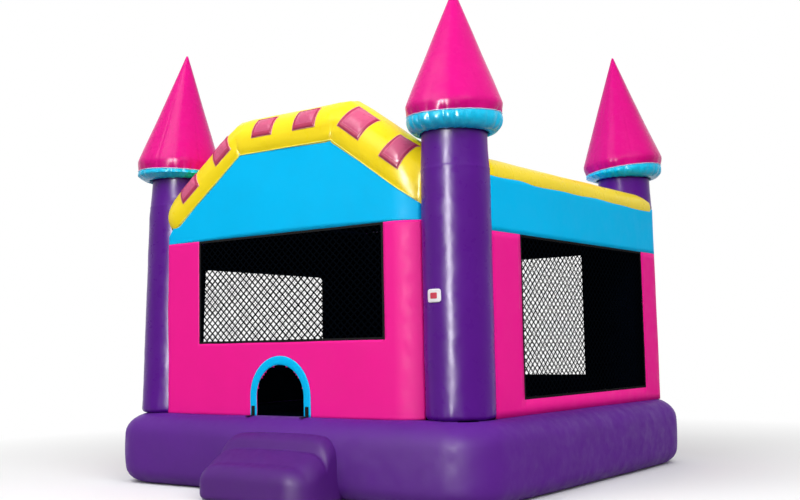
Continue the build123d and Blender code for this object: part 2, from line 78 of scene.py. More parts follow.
# ---- sizes of the finish -------------------------------------------------------------------
RING_CORNER = {"front_left": 0.40, "front_right": 0.40, "back_left": 0.40, "back_right": 0.58}
RING_INNER_CORNER = 0.20
RING_TOP_ROUND = 0.20
RING_BOTTOM_ROUND = 0.15
RING_INNER_ROUND = 0.06
RING_BELLY = 0.030            # it takes the skin out past the zip and the straps' tails, which it hides
SHEET = 0.004                # vinyl of walls and valances, drawn thick enough to show its edge
COLUMN_END = 0.045
COLUMN_SEAM = 2.87           # height of the seam where the beams are sewn to the columns
GATHERS = 22                 # pleats round a turret
NET_WIDTH, NET_HEIGHT = 0.079, 0.070        # a diamond of the netting, corner to corner
NET_CORD = {"front": 0.0150, "right": 0.0150, "left": 0.0045, "back": 0.0045}
TUCK_START = 1.26            # where the front wall starts to bend back towards its right column
TUCK_DEPTH = 0.105           # how far its end is set back, and how far it is drawn to the left
TUCK_PULL = 0.117
HEM_WIDTH = 0.022            # black binding round a window
PAINTED_SILL_LIGHT_HEIGHT = 0.13             # height of the strip of painted light on the inner face under the far window
SHOULDER = 0.085             # height of a cone's rounded shoulder above its seam
# How each turret sits, as soft towers do: slope of its seam towards +X and +Y, lift of its seam
# and of its collar's foot, tip off the column's axis, and lift of the tip.
TURRETS = {
    "front_left": {"slope": (-0.05, -0.01), "seam": -0.11, "foot": 0.0,
                   "lean": (0.064, 0.064), "tip": 0.0},
    "front_right": {"slope": (-0.02, 0.07), "seam": 0.0, "foot": 0.035,
                    "lean": (-0.020, 0.070), "tip": -0.025},
    "back_left": {"slope": (0.02, 0.0), "seam": -0.04, "foot": 0.02,
                  "lean": (0.064, -0.064), "tip": -0.12},
    "back_right": {"slope": (0.10, 0.05), "seam": -0.05, "foot": 0.045,
                   "lean": (-0.065, -0.030), "tip": 0.10},
}
COLUMN_FOOT_SHIFT = {"front_left": (-0.060, -0.042)}     # a soft column leans out a little at its foot
COLUMN_NECK = {"front_left": 0.90, "front_right": 0.955, "back_left": 0.95, "back_right": 0.95}

# ---- camera --------------------------------------------------------------------------------
CAMERA_PLACE = (6.748, -9.435, 1.337)
CAMERA_YAW, CAMERA_PITCH, CAMERA_ROLL = 36.116, 5.2805, -1.1216
CAMERA_LENS = 47.21


def make_camera():
    data = bpy.data.cameras.new("camera")
    data.sensor_width = 36.0
    data.lens = CAMERA_LENS
    camera = bpy.data.objects.new("camera", data)
    bpy.context.scene.collection.objects.link(camera)
    turn = Matrix.Rotation(radians(CAMERA_YAW), 4, "Z")
    turn @= Matrix.Rotation(radians(90 + CAMERA_PITCH), 4, "X")
    turn @= Matrix.Rotation(radians(CAMERA_ROLL), 4, "Z")
    camera.matrix_world = Matrix.Translation(CAMERA_PLACE) @ turn
    bpy.context.scene.camera = camera


# ---- materials -----------------------------------------------------------------------------
def srgb(code):
    """A hex colour as linear red, green, blue and alpha."""
    values = [int(code[i:i + 2], 16) / 255 for i in (0, 2, 4)]
    return [v / 12.92 if v <= 0.04045 else ((v + 0.055) / 1.055) ** 2.4 for v in values] + [1.0]


def shade(colour, factor):
    return [c * factor for c in colour[:3]] + [1.0]


class Nodes:
    """Short calls for building one material's node tree."""

    def __init__(self, name):
        self.material = bpy.data.materials.new(name)
        self.material.use_nodes = True
        self.tree = self.material.node_tree
        self.shader = self.tree.nodes["Principled BSDF"]
        self.place = self.add("ShaderNodeTexCoord").outputs["Object"]

    def add(self, kind, links=None, **values):
        """A node with its settings; links join its inputs to other nodes' outputs."""
        node = self.tree.nodes.new(kind)
        for key, value in values.items():
            if hasattr(node, key):
                setattr(node, key, value)
            else:
                node.inputs[key.replace("_", " ")].default_value = value
        for key, source in (links or {}).items():
            self.tree.links.new(source, node.inputs[key])
        return node

    def stretched(self, scale):
        return self.add("ShaderNodeMapping", {"Vector": self.place}, Scale=scale).outputs[0]

    def noise(self, scale, detail=3.0, stretch=None, distortion=0.0):
        vector = self.stretched(stretch) if stretch else self.place
        node = self.add("ShaderNodeTexNoise", {"Vector": vector}, Scale=scale, Detail=detail,
                        Distortion=distortion)
        return node.outputs["Fac"]

    def ramp(self, source, stops):
        node = self.add("ShaderNodeValToRGB", {"Fac": source})
        band = node.color_ramp
        while len(band.elements) < len(stops):
            band.elements.new(0.5)
        for element, (place, colour) in zip(band.elements, stops):
            element.position = place
            element.color = colour
        return node.outputs["Color"]

    def bump(self, height, distance, strength=1.0, below=None):
        links = {"Height": height}
        if below:
            links["Normal"] = below
        return self.add("ShaderNodeBump", links, Strength=strength, Distance=distance).outputs[0]

    def set(self, **values):
        for key, value in values.items():
            self.shader.inputs[key.replace("_", " ")].default_value = value

    def link(self, key, source):
        self.tree.links.new(source, self.shader.inputs[key])


def vinyl(name, colour, roughness=0.3, shine=0.25, mottle=0.05, wrinkle=0.0025, stretch=(1, 1, 1)):
    """Coated polyester vinyl: a faint scrim, soft creases and a slightly uneven colour."""
    n = Nodes(name)
    tint = n.noise(1.6, 4.0)
    n.link("Base Color", n.ramp(tint, [(0.3, shade(colour, 1 - mottle)), (0.7, shade(colour, 1 + mottle))]))
    gloss = n.noise(9.0, 3.0)
    n.link("Roughness", n.ramp(gloss, [(0.3, [roughness * 0.82] * 3 + [1]),
                                       (0.75, [roughness * 1.25] * 3 + [1])]))
    creases = n.bump(n.noise(2.6, 3.0, stretch, 0.4), wrinkle * 6, 0.5)
    crinkle = n.bump(n.noise(24.0, 4.0, stretch, 0.2), wrinkle * 0.5, 0.5, creases)
    weave = n.add("ShaderNodeTexVoronoi", {"Vector": n.place}, Scale=420.0).outputs["Distance"]
    n.link("Normal", n.bump(weave, 0.0002, 0.35, crinkle))
    n.set(Specular_IOR_Level=shine)
    return n.material


def woven(name, colour, scale, distortion, bright, ribs, roughness, shine):
    """Woven nylon or net cord: a fine diagonal rib on a matt face. ribs is a bump's depth, strength."""
    n = Nodes(name)
    rib = n.add("ShaderNodeTexWave", {"Vector": n.place}, bands_direction="DIAGONAL", Scale=scale,
                Distortion=distortion).outputs["Fac"]
    n.link("Base Color", n.ramp(rib, [(0.2, shade(colour, 0.6)), (0.8, shade(colour, bright))]))
    n.link("Normal", n.bump(rib, *ribs))
    n.set(Roughness=roughness, Specular_IOR_Level=shine)
    return n.material


def plastic(name, colour):
    """Moulded plastic with a fine spark-eroded grain."""
    n = Nodes(name)
    grain = n.noise(900.0, 2.0)
    n.link("Base Color", n.ramp(grain, [(0.3, shade(colour, 0.85)), (0.7, shade(colour, 1.2))]))
    n.link("Normal", n.bump(grain, 0.0002, 0.6))
    n.set(Roughness=0.42, Specular_IOR_Level=0.4)
    return n.material


def steel(name):
    """Zinc-plated steel with faint drawing lines and a few dull patches."""
    n = Nodes(name)
    lines = n.noise(60.0, 4.0, (1, 1, 14))
    n.link("Base Color", n.ramp(lines, [(0.3, [0.52, 0.53, 0.55, 1]), (0.7, [0.72, 0.72, 0.73, 1])]))
    n.link("Roughness", n.ramp(n.noise(45.0, 4.0), [(0.35, [0.22] * 3 + [1]), (0.8, [0.42] * 3 + [1])]))
    n.link("Normal", n.bump(lines, 0.0002, 0.4))
    n.set(Metallic=1.0)
    return n.material


def lining(name):
    """Painted shade: the near-black face that every part turns to the room, standing in for the shade
    inside it.
    """
    n = Nodes(name)
    cloud = n.noise(3.0, 4.0)
    n.link("Base Color", n.ramp(cloud, [(0.3, srgb("020712")), (0.7, srgb("060D1A"))]))
    n.link("Normal", n.bump(n.noise(30.0, 3.0), 0.002, 0.5))
    n.set(Roughness=0.9, Specular_IOR_Level=0.0)
    return n.material


MATERIALS = {
    "base": vinyl("ring_vinyl", srgb("59198A"), 0.55, 0.15, 0.06),
    # painted shade: the step's purple is set darker than the ring's, for the shade on its seat
    "step": vinyl("step_painted_shade_vinyl", srgb("501A78"), 0.52, 0.13, 0.04, 0.0012),
    "column": vinyl("column_vinyl", srgb("560A88"), 0.30, 0.13, 0.04, 0.003),
    # painted shade: the bounce floor is near-black, standing in for the shade inside the room
    "floor": vinyl("floor_vinyl", srgb("0A0A1C"), 0.6, 0.05),
    "teal": vinyl("teal_vinyl", srgb("08C4F0"), 0.26, 0.22, 0.06),
    "cone": vinyl("cone_vinyl", srgb("DA0282"), 0.27, 0.12, 0.03, 0.003),
    "yellow": vinyl("yellow_vinyl", srgb("FFE216"), 0.3, 0.16, 0.03),
    "pad": vinyl("pad_vinyl", srgb("D2557F"), 0.28, 0.3, 0.08),
    # the pads' darker trim, also used as painted shade where the border widens on the lower side
    "pad_border": vinyl("pad_border_and_shade_vinyl", srgb("B32B55"), 0.32, 0.25, 0.08),
    "pad_piping": vinyl("pad_piping", srgb("F2A7A0"), 0.4, 0.2),
    "pink": vinyl("pink_vinyl", srgb("FC1C98"), 0.5, 0.05, 0.02, 0.002),
    "blue": vinyl("blue_vinyl", srgb("00C2FC"), 0.5, 0.03, 0.02, 0.002),
    "piping": vinyl("seam_piping", srgb("B9C9E4"), 0.3, 0.3),
    "welt": vinyl("yellow_welt", srgb("F4F07A"), 0.35, 0.25),
    # painted shade: near-black for every face that looks into the room
    "lining": lining("inner_painted_shade"),
    # painted light: dull red for the pink wall's inner face dimly lit under the far window
    "sill": vinyl("inner_sill_painted_light", srgb("3A0A16"), 0.8, 0.02, 0.15),
    "webbing": woven("black_webbing", srgb("0A0A0C"), 260.0, 0.6, 1.5, (0.0008, 0.8), 0.85, 0.06),
    "net": woven("net_cord", srgb("04070C"), 700.0, 0.0, 1.4, (0.0004, 0.6), 0.9, 0.0),
    "sleeve": vinyl("sleeve_fabric", srgb("57208A"), 0.5, 0.2, 0.06, 0.005),
    "plastic": plastic("buckle_plastic", srgb("1B1B1D")),
    "steel": steel("plated_steel"),
    "label": vinyl("label_patch", srgb("F2F0F2"), 0.45, 0.2, 0.02, 0.001),
    "label_bar": vinyl("label_bar", srgb("D23B52"), 0.45, 0.2, 0.05, 0.001),
}


# ---- mesh building -------------------------------------------------------------------------
def piece(name, points, faces, *materials, pick=None, smooth=True):
    """A mesh object. pick gives each face's place in materials."""
    mesh = bpy.data.meshes.new(name)
    mesh.from_pydata([tuple(p) for p in points], [], faces)
    for material in materials:
        mesh.materials.append(MATERIALS[material])
    if pick:
        mesh.polygons.foreach_set("material_index", pick)
    mesh.polygons.foreach_set("use_smooth", [smooth] * len(faces))
    mesh.update()
    made = bpy.data.objects.new(name, mesh)
    bpy.context.scene.collection.objects.link(made)
    return made


def quads(height, width, closed=False, looped=False):
    """Faces over rows of points; closed joins each row's ends, looped the last row to the first."""
    faces = []
    for i in range(height if looped else height - 1):
        for j in range(width if closed else width - 1):
            k, m = (i + 1) % height, (j + 1) % width
            faces.append((i * width + j, i * width + m, k * width + m, k * width + j))
    return faces


def surface(name, rows, *materials, closed=False, looped=False, caps=False, pick=None, smooth=True):
    """A mesh over rows of points, with an optional cap on the first and last row."""
    height, width = len(rows), len(rows[0])
    faces = quads(height, width, closed, looped)
    if caps:
        faces.append(tuple(reversed(range(width))))
        faces.append(tuple((height - 1) * width + j for j in range(width)))
    points = [p for row in rows for p in row]
    return piece(name, points, faces, *materials, pick=pick, smooth=smooth)


def patch(name, top, bottom, *materials, pick=None):
    """A closed mesh between two grids of the same shape."""
    height, width = len(top), len(top[0])
    count = height * width
    points = [p for row in top for p in row] + [p for row in bottom for p in row]
    upper = quads(height, width)
    lower = [tuple(count + v for v in reversed(face)) for face in upper]
    rim = list(range(width)) + [i * width + width - 1 for i in range(1, height)]
    rim += [(height - 1) * width + j for j in range(width - 2, -1, -1)]
    rim += [i * width for i in range(height - 2, 0, -1)]
    sides = []
    for a, b in zip(rim, rim[1:] + rim[:1]):
        sides.append((b, a, count + a, count + b))
    picks = None
    if pick:
        picks = [pick(f // (width - 1), f % (width - 1)) for f in range(len(upper))]
        picks += [0] * (len(lower) + len(sides))
    return piece(name, points, upper + lower + sides, *materials, pick=picks)


def finish_piece(made, slot, *nodes, body="root"):
    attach(made, body)
    if nodes:
        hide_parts(*nodes)
    return made


def thicken(made, thickness, offset=0.0, inner=None):
    """Gives a sheet its thickness; inner is the place of its inner face's material."""
    solid = made.modifiers.new("thickness", "SOLIDIFY")
    solid.thickness = thickness
    solid.offset = offset
    if inner:
        solid.material_offset = inner
    return made


def spread(start, end, count):
    """count + 1 evenly spaced numbers."""
    return [start + (end - start) * i / count for i in range(count + 1)]


def cuts(start, end, pitch, *at):
    """Numbers from start to end about pitch apart, with a stop at each value of at."""
    stops = sorted({start, end, *at})
    line = []
    for a, b in zip(stops, stops[1:]):
        line += spread(a, b, max(1, round((b - a) / pitch)))[:-1]
    return line + [end]


def rough(point, scale, depth, seed=0.0):
    """A smooth wander of about depth, the same at each run."""
    return depth * noise.noise(Vector(point) * scale + Vector((seed, seed * 0.7, -seed)))


def smooth_step(value):
    value = min(1.0, max(0.0, value))
    return value * value * (3 - 2 * value)


def bell(offset, width):
    """1 at no offset, and falling off smoothly on both sides."""
    return exp(-(offset / width) ** 2)


def round_turn(count):
    """Evenly spaced angles once round."""
    return [2 * pi * k / count for k in range(count)]


def axis_of(corner):
    """A column's axis, on the ground."""
    sx, sy = CORNERS[corner]
    return Vector((sx * COLUMN_CENTRE, sy * COLUMN_CENTRE, 0))


def four_sides(first, second):
    """Faces between two loops of four points, given by each loop's first number."""
    return [(first + k, first + (k + 1) % 4, second + (k + 1) % 4, second + k) for k in range(4)]


def paint_inside_shade(made, test):
    """Paints the faces that look into the room near-black, as painted shade."""
    mesh = made.data
    mesh.materials.append(MATERIALS["lining"])
    for face in mesh.polygons:
        if test(face.center):
            face.material_index = len(mesh.materials) - 1


# ---- base ring -----------------------------------------------------------------------------
def arc(centre, radius, start, end, steps):
    """Points on an arc in a plane, from start to end in degrees."""
    return [(centre[0] + radius * cos(radians(a)), centre[1] + radius * sin(radians(a)))
            for a in spread(start, end, steps)]


def ring_section():
    """The tube's section as (distance in from the outer side, height), from its outer foot round."""
    width, top = RING_HALF - RING_BORE, RING_TOP
    line = arc((RING_BOTTOM_ROUND, RING_BOTTOM_ROUND), RING_BOTTOM_ROUND, -90, -180, 6)
    line += [(0.0, z) for z in spread(RING_BOTTOM_ROUND, top - RING_TOP_ROUND, 8)[1:-1]]
    line += arc((RING_TOP_ROUND, top - RING_TOP_ROUND), RING_TOP_ROUND, 180, 90, 8)
    line += [(d, top) for d in spread(RING_TOP_ROUND, width - RING_INNER_ROUND, 8)[1:-1]]
    line += arc((width - RING_INNER_ROUND, top - RING_INNER_ROUND), RING_INNER_ROUND, 90, 0, 5)
    line += [(width, z) for z in spread(top - RING_INNER_ROUND, 0.0, 5)[1:]]
    line += [(d, 0.0) for d in spread(width, RING_BOTTOM_ROUND, 8)[1:-1]]
    return line


def ring_plan(depth):
    """Points and outward directions round the ring, depth in from its outer side."""
    width = RING_HALF - RING_BORE
    half = RING_HALF - depth
    plan = []
    order = ["front_right", "back_right", "back_left", "front_left"]
    for turn, corner in enumerate(order):
        sx, sy = CORNERS[corner]
        radius = RING_CORNER[corner] + (RING_INNER_CORNER - RING_CORNER[corner]) * depth / width
        centre = Vector((sx * (half - radius), sy * (half - radius)))
        following = order[(turn + 1) % 4]
        nx, ny = CORNERS[following]
        next_radius = RING_CORNER[following]
        next_radius += (RING_INNER_CORNER - next_radius) * depth / width
        for angle in spread(-90 + 90 * turn, 90 * turn, 12):
            out = Vector((cos(radians(angle)), sin(radians(angle))))
            plan.append((centre + out * radius, out))
        begin = plan[-1][0]
        out = Vector((cos(radians(90 * turn)), sin(radians(90 * turn))))
        end = Vector((nx * (half - next_radius), ny * (half - next_radius))) + out * next_radius
        plan += [(begin.lerp(end, t), out) for t in spread(0, 1, 44)[1:-1]]
    return plan


def ring_swell(point, depth, height):
    """How far the skin stands out of the plain section: a belly, slow unevenness, foot creases.

    It doesn't spare the zip and the straps, so their places are hidden.
    """
    belly = RING_BELLY * ((height / RING_TOP - 0.52) * 2) ** 2 - 0.6 * RING_BELLY
    uneven = rough(point, 1.1, 0.010) + rough(point, 4.0, 0.0035, 5.0)
    low = exp(-height / 0.09)
    creases = low * 0.007 * noise.noise(Vector((point[0] * 9, point[1] * 9, 0.5)))
    return -belly * (1 - smooth_step(depth / 0.3)) + uneven + creases


def make_ring():
    columns = []
    for depth, height in ring_section():
        row = []
        for place, out in ring_plan(depth):
            outer = depth < (RING_HALF - RING_BORE) / 2
            flat = (place.x, place.y, height)
            swell = ring_swell(flat, depth, height) if outer else 0.0
            swell = min(swell, 0.0) if height < 0.02 else swell
            moved = place + out * swell
            lift = 0.0
            if height > RING_TOP - 0.02 and outer:
                lift = 0.004 * noise.noise(Vector(flat) * 2.0)
            row.append((moved.x, moved.y, max(0.0, height + lift)))
        columns.append(row)
    made = surface("base_ring", columns, "base", closed=True, looped=True)
    # Painted shade: the ring's top inside the room is painted near-black.
    room = WALL_FACE - 0.02
    paint_inside_shade(made, lambda c: abs(c.x) < room and abs(c.y) < room and c.z > RING_TOP - 0.15)
    tubes = [f"base_tube_{side}" for side in ("front", "right", "back", "left")]
    finish_piece(made, "purple_vinyl", *tubes)


# ---- bounce floor --------------------------------------------------------------------------
FLOOR_CHANNELS = 7
CHANNEL_CROWN = 0.030


def make_floor():
    """Crowned channels, front to back, with a pinched seam between neighbours."""
    half, top = RING_BORE - 0.002, floor_high.z - CHANNEL_CROWN
    pitch = 2 * half / FLOOR_CHANNELS
    upper, lower = [], []
    for y in cuts(-half, half, 0.07):
        end = smooth_step((half - abs(y)) / 0.10)
        row, under = [], []
        for step in range(FLOOR_CHANNELS * 10 + 1):
            x = -half + pitch * step / 10
            across = (step % 10) / 10
            crown = CHANNEL_CROWN * sqrt(max(0.0, 1 - (2 * across - 1) ** 2))
            side = smooth_step((half - abs(x)) / 0.06)
            dip = 0.05 * (1 - end) + 0.03 * (1 - side)
            pucker = 0.003 * sin(y * 95 + step // 10) * exp(-min(across, 1 - across) * 9)
            row.append((x, y, top + crown - dip + pucker + rough((x, y, 0), 2.5, 0.004)))
            under.append((x, y, 0.002))
        upper.append(row)
        lower.append(under)
    # Painted shade: the mattress is drawn in near-black vinyl.
    made = patch("bounce_mattress", upper, lower, "floor")
    finish_piece(made, "floor_vinyl", "bounce_floor")


# ---- columns and turrets -------------------------------------------------------------------
def revolved(name, centre, profile, turns, shape, material, looped=False, caps=True, move=None):
    """A surface round a vertical axis; shape gives a point's radius and height from the profile's."""
    rows = []
    for radius, height in profile:
        row = []
        for angle in round_turn(turns):
            r, z = shape(angle, radius, height)
            point = Vector((centre[0] + r * cos(angle), centre[1] + r * sin(angle), z))
            row.append(move(point) if move else point)
        rows.append(row)
    return surface(name, rows, material, closed=True, looped=looped, caps=caps and not looped)


def make_column(corner):
    sx, sy = CORNERS[corner]
    centre = axis_of(corner)
    low, high = column_low.z, COLUMN_TOP + 0.03
    shift = COLUMN_FOOT_SHIFT.get(corner, (0.0, 0.0))

    def move(point):
        share = max(0.0, 1 - (point.z - low) / (COLUMN_SEAM - low))
        neck = 1 - (1 - COLUMN_NECK[corner]) * smooth_step((point.z - 2.75) / 0.4)
        x = centre[0] + (point.x - centre[0]) * neck + shift[0] * share
        return Vector((x, centre[1] + (point.y - centre[1]) * neck + shift[1] * share, point.z))

    def shape(angle, radius, height):
        place = (centre[0] + cos(angle), centre[1] + sin(angle), height)
        foot = exp(-(height - low) / 0.07)
        crease = foot * 0.004 * sin(angle * 19 + 3 * noise.noise(Vector(place) * 3))
        seam = 0.003 * bell(height - COLUMN_SEAM, 0.012)
        side = 0.0025 * bell(angle - atan2(-sy, -sx) % (2 * pi), 0.03)
        slack = rough((cos(angle) * 0.3, sin(angle) * 0.3, height), 3.2, 0.004, sx + 2 * sy)
        fine = rough((cos(angle), sin(angle), height * 5), 2.6, 0.0016, 4.0)
        swell = crease + seam + side + slack + fine
        return radius + swell * min(1.0, radius / COLUMN_RADIUS), height

    profile = [(0.02, low), (COLUMN_RADIUS - COLUMN_END - 0.06, low)]
    profile += [(COLUMN_RADIUS - COLUMN_END + r, low + COLUMN_END + z)
                for r, z in arc((0, 0), COLUMN_END, -90, 0, 6)]
    body = cuts(low + COLUMN_END, high - COLUMN_END, 0.045, COLUMN_SEAM - 0.024, COLUMN_SEAM - 0.012,
                COLUMN_SEAM, COLUMN_SEAM + 0.012, COLUMN_SEAM + 0.024)
    profile += [(COLUMN_RADIUS, z) for z in body[1:-1]]
    profile += [(COLUMN_RADIUS - COLUMN_END + r, high - COLUMN_END + z)
                for r, z in arc((0, 0), COLUMN_END, 0, 90, 6)]
    profile += [(0.02, high)]
    made = revolved(f"tube_{corner}", centre, profile, 96, shape, "column", move=move)
    # Painted shade: the column's side that faces the room, below the front wall's top or the roof, is
    # painted near-black.
    reach, head = 2 * COLUMN_CENTRE + ROOM_EDGE[corner], FRONT_WALL_TOP if sy < 0 else ROOF_FOOT
    paint_inside_shade(made, lambda c: abs(c.x) + abs(c.y) < reach and c.z < head)
    finish_piece(made, "column_vinyl", f"column_{corner}")


def gather(angle, seed):
    """Uneven pleats round a turret, from -1 to 1, sharper in the valleys than on the folds."""
    phase = angle * GATHERS + 1.6 * sin(2 * angle + seed) + 1.1 * sin(5 * angle + 2 * seed)
    weight = 0.65 + 0.35 * sin(3 * angle + seed * 3)
    return weight * (2 * abs(cos(phase / 2)) ** 0.8 - 1)


def turret_mover(corner):
    """Tips a turret's seam plane, from the column's top up."""
    slope = TURRETS[corner]["slope"]
    seam, foot = TURRETS[corner]["seam"], TURRETS[corner]["foot"]
    centre = axis_of(corner)

    def move(point):
        share = min(1.0, max(0.0, (point.z - collar_low.z) / (SEAM_HEIGHT - collar_low.z)))
        tip = (point.x - centre.x) * slope[0] + (point.y - centre.y) * slope[1] + seam
        lift = tip * smooth_step(share) + foot * (1 - share)
        return Vector((point.x, point.y, point.z + lift))
    return move


def make_collar(corner, seed):
    """A gathered, air-filled collar: its folds are deepest at the column and flatten at the seam."""
    centre = axis_of(corner)
    low, rise = collar_low.z, SEAM_HEIGHT - collar_low.z
    inner = COLUMN_RADIUS + GAP

    def shape(angle, radius, height):
        up = (height - low) / rise
        depth = 0.015 * sin(pi * min(1.0, max(0.0, up * 0.86 + 0.1))) ** 0.7
        wave = gather(angle, seed)
        ripple = 0.0025 * noise.noise(Vector((9 * cos(angle), 9 * sin(angle), up * 3 + seed)))
        shift = (wave * depth + ripple) if radius > inner + 0.004 else 0.0
        sag = 0.006 * wave * (1 - up) if radius > inner + 0.004 else 0.0
        return radius + shift, height + sag * 0.6

    reach = TURRET_RADIUS - 0.018 - inner - 0.008
    outer = []
    for t in spread(0, 1, 16):
        bowl = sqrt(1 - (1 - min(1.0, t * 1.15)) ** 2.3)
        outer.append((inner + 0.008 + reach * bowl - 0.004 * t ** 6, low + rise * t))
    profile = outer + [(TURRET_RADIUS - 0.05, SEAM_HEIGHT - 0.002), (inner + 0.02, SEAM_HEIGHT - 0.004),
                       (inner + 0.001, SEAM_HEIGHT - 0.03), (inner + 0.001, low + 0.012)]
    made = revolved(f"collar_{corner}", centre, profile, 264, shape, "teal", looped=True,
                    move=turret_mover(corner))
    finish_piece(made, "teal_vinyl", f"turret_collar_{corner}")


def make_cone(corner, seed):
    """A gored spire: straight flanks, a soft shoulder over its seam, puckers along the seam."""
    centre = axis_of(corner)
    tip_x, tip_y = TURRETS[corner]["lean"]
    low, high = SEAM_HEIGHT + GAP, TIP_HEIGHT + TURRETS[corner]["tip"]
    shoulder = SHOULDER / (high - low)
    gores = 6
    tip_radius = 0.006

    def shape(angle, radius, height):
        up = (height - low) / (high - low)
        pucker = exp(-up / 0.045) * 0.010 * gather(angle, seed)
        split = abs(((angle * gores / (2 * pi) + 0.21 * seed) % 1.0) - 0.5)
        gore = -0.0035 * bell(0.5 - split, 0.022) + 0.006 * cos((0.5 - split) * 2 * pi) * -1
        slack = rough((cos(angle) * 0.5, sin(angle) * 0.5, height), 3.0, 0.010, seed)
        swell = pucker + (gore + slack) * smooth_step(up / 0.05) * (1 - up)
        return radius + swell, height

    top_move = turret_mover(corner)

    def move(point):
        up = (point.z - low) / (high - low)
        seam = top_move(Vector((point.x, point.y, low))).z - low
        return Vector((point.x + tip_x * up, point.y + tip_y * up, point.z + seam * (1 - up)))

    profile = [(0.03, low), (TURRET_RADIUS - 0.05, low)]
    levels = [0, 0.004, 0.010, 0.018, 0.028, 0.04, 0.055, 0.075, 0.1, 0.13] + spread(0.17, 0.96, 20)
    for up in levels + [0.98, 1.0]:
        share = max(0.0, up - shoulder) / (1 - shoulder)
        flank = TURRET_RADIUS + 0.004 + (tip_radius - TURRET_RADIUS) * share
        tuck = 0.030 * max(0.0, 1 - up / (1.5 * shoulder)) ** 2.2
        profile.append((flank - tuck, low + (high - low) * up))
    made = revolved(f"spire_{corner}", centre, profile, 192, shape, "cone", move=move)
    finish_piece(made, "cone_vinyl", f"turret_cone_{corner}")


def tube_along(name, path, radius, material, sides=8, closed=False):
    """A thin round cord of piping along a line of points."""
    count = len(path)
    rows = []
    for i, point in enumerate(path):
        before = path[i - 1] if i or closed else point
        after = path[(i + 1) % count] if i < count - 1 or closed else point
        along = (Vector(after) - Vector(before)).normalized()
        side = along.cross(Vector((0, 0, 1)))
        if side.length < 0.05:
            side = along.cross(Vector((0, 1, 0)))
        side.normalize()
        up = side.cross(along)
        rows.append([Vector(point) + (side * cos(a) + up * sin(a)) * radius
                     for a in round_turn(sides)])
    return surface(name, rows, material, closed=True, looped=closed, caps=not closed)


def make_turret_piping(corner, seed):
    centre = axis_of(corner)
    move = turret_mover(corner)
    path = []
    for angle in round_turn(180):
        r = TURRET_RADIUS - 0.022 + 0.008 * gather(angle, seed)
        path.append(move(Vector((centre[0] + r * cos(angle), centre[1] + r * sin(angle), SEAM_HEIGHT))))
    finish_piece(tube_along(f"seam_piping_{corner}", path, 0.005, "piping", closed=True), "teal_vinyl")


# ---- walls, valances and their plans -------------------------------------------------------
def back_plan(s):
    """The back wall's outer face: a point along it, and the outward direction."""
    return Vector((s, WALL_FACE, 0)), Vector((0, 1, 0))


def front_plan(s):
    """The front wall's outer face. Its right end is drawn back onto the side of its column."""
    share = max(0.0, (s - TUCK_START) / (column_chord() - TUCK_START))
    depth = TUCK_DEPTH * share * share
    x = s - TUCK_PULL * share if share else s
    turn = 2 * TUCK_DEPTH * share / (column_chord() - TUCK_START)
    return Vector((x, depth - WALL_FACE, 0)), Vector((turn, -1, 0)).normalized()


def side_angle():
    """The turn by which a side wall opens towards the rear column, which it lies on."""
    depth = WALL_FACE - COLUMN_CENTRE
    thickness = front_high.y - front_low.y
    return asin((COLUMN_RADIUS + GAP + thickness - depth) / (2 * COLUMN_CENTRE))


def side_plan(side):
    """The left (-1) or right (+1) wall's outer face. s runs as Y does, and past the rear column's
    axis it is the arc length round that column."""
    turn = side_angle()
    depth = WALL_FACE - COLUMN_CENTRE
    radius = COLUMN_RADIUS + GAP + front_high.y - front_low.y
    out = Vector((cos(turn), -sin(turn), 0))
    along = Vector((sin(turn), cos(turn), 0))
    start = Vector((COLUMN_CENTRE, -COLUMN_CENTRE, 0)) + out * depth
    tangent = COLUMN_CENTRE - radius * sin(turn)

    def at(s):
        if s <= tangent:
            place = start + along * ((s + COLUMN_CENTRE + depth * sin(turn)) / cos(turn))
            return Vector((side * place.x, place.y, 0)), Vector((side * out.x, out.y, 0))
        angle = (s - tangent) / radius - turn
        way = Vector((cos(angle), sin(angle), 0))
        place = Vector((COLUMN_CENTRE, COLUMN_CENTRE, 0)) + way * radius
        return Vector((side * place.x, place.y, 0)), Vector((side * way.x, way.y, 0))
    return at


def sheet_piece(name, plan, columns, heights, hole, materials, wander=0.004, warp=None, setback=0.0):
    """A sheet over a plan: cells inside hole are left out, and warp moves a point along the sheet."""
    width = len(columns)
    points, keep = [], []
    for z in heights:
        for s in columns:
            ss, zz = warp(s, z) if warp else (s, z)
            place, out = plan(ss)
            depth = -setback - SHEET / 2 + rough((place.x, place.y, zz), 1.7, wander) - wander * 0.6
            points.append(place + out * depth + Vector((0, 0, zz)))
    cells = [(i, j) for i in range(len(heights) - 1) for j in range(width - 1)]
    for i, j in cells:
        middle = ((columns[j] + columns[j + 1]) / 2, (heights[i] + heights[i + 1]) / 2)
        if not (hole and hole(*middle)):
            keep.append((i * width + j, i * width + j + 1, (i + 1) * width + j + 1, (i + 1) * width + j))
    place, out = plan(0.0)
    a, b, c = (points[k] for k in keep[0][:3])
    if (b - a).cross(c - b).dot(out) < 0:
        keep = [tuple(reversed(face)) for face in keep]
    used = sorted({k for face in keep for k in face})
    order = {k: i for i, k in enumerate(used)}
    faces = [tuple(order[k] for k in face) for face in keep]
    made = piece(name, [points[k] for k in used], faces, *materials)
    return thicken(made, SHEET, 0.0, 1 if len(materials) > 1 else None)


def column_chord():
    """Half the width of the front wall: its sheet ends where it meets the columns."""
    depth = WALL_FACE - COLUMN_CENTRE
    return COLUMN_CENTRE - sqrt(COLUMN_RADIUS ** 2 - depth ** 2)


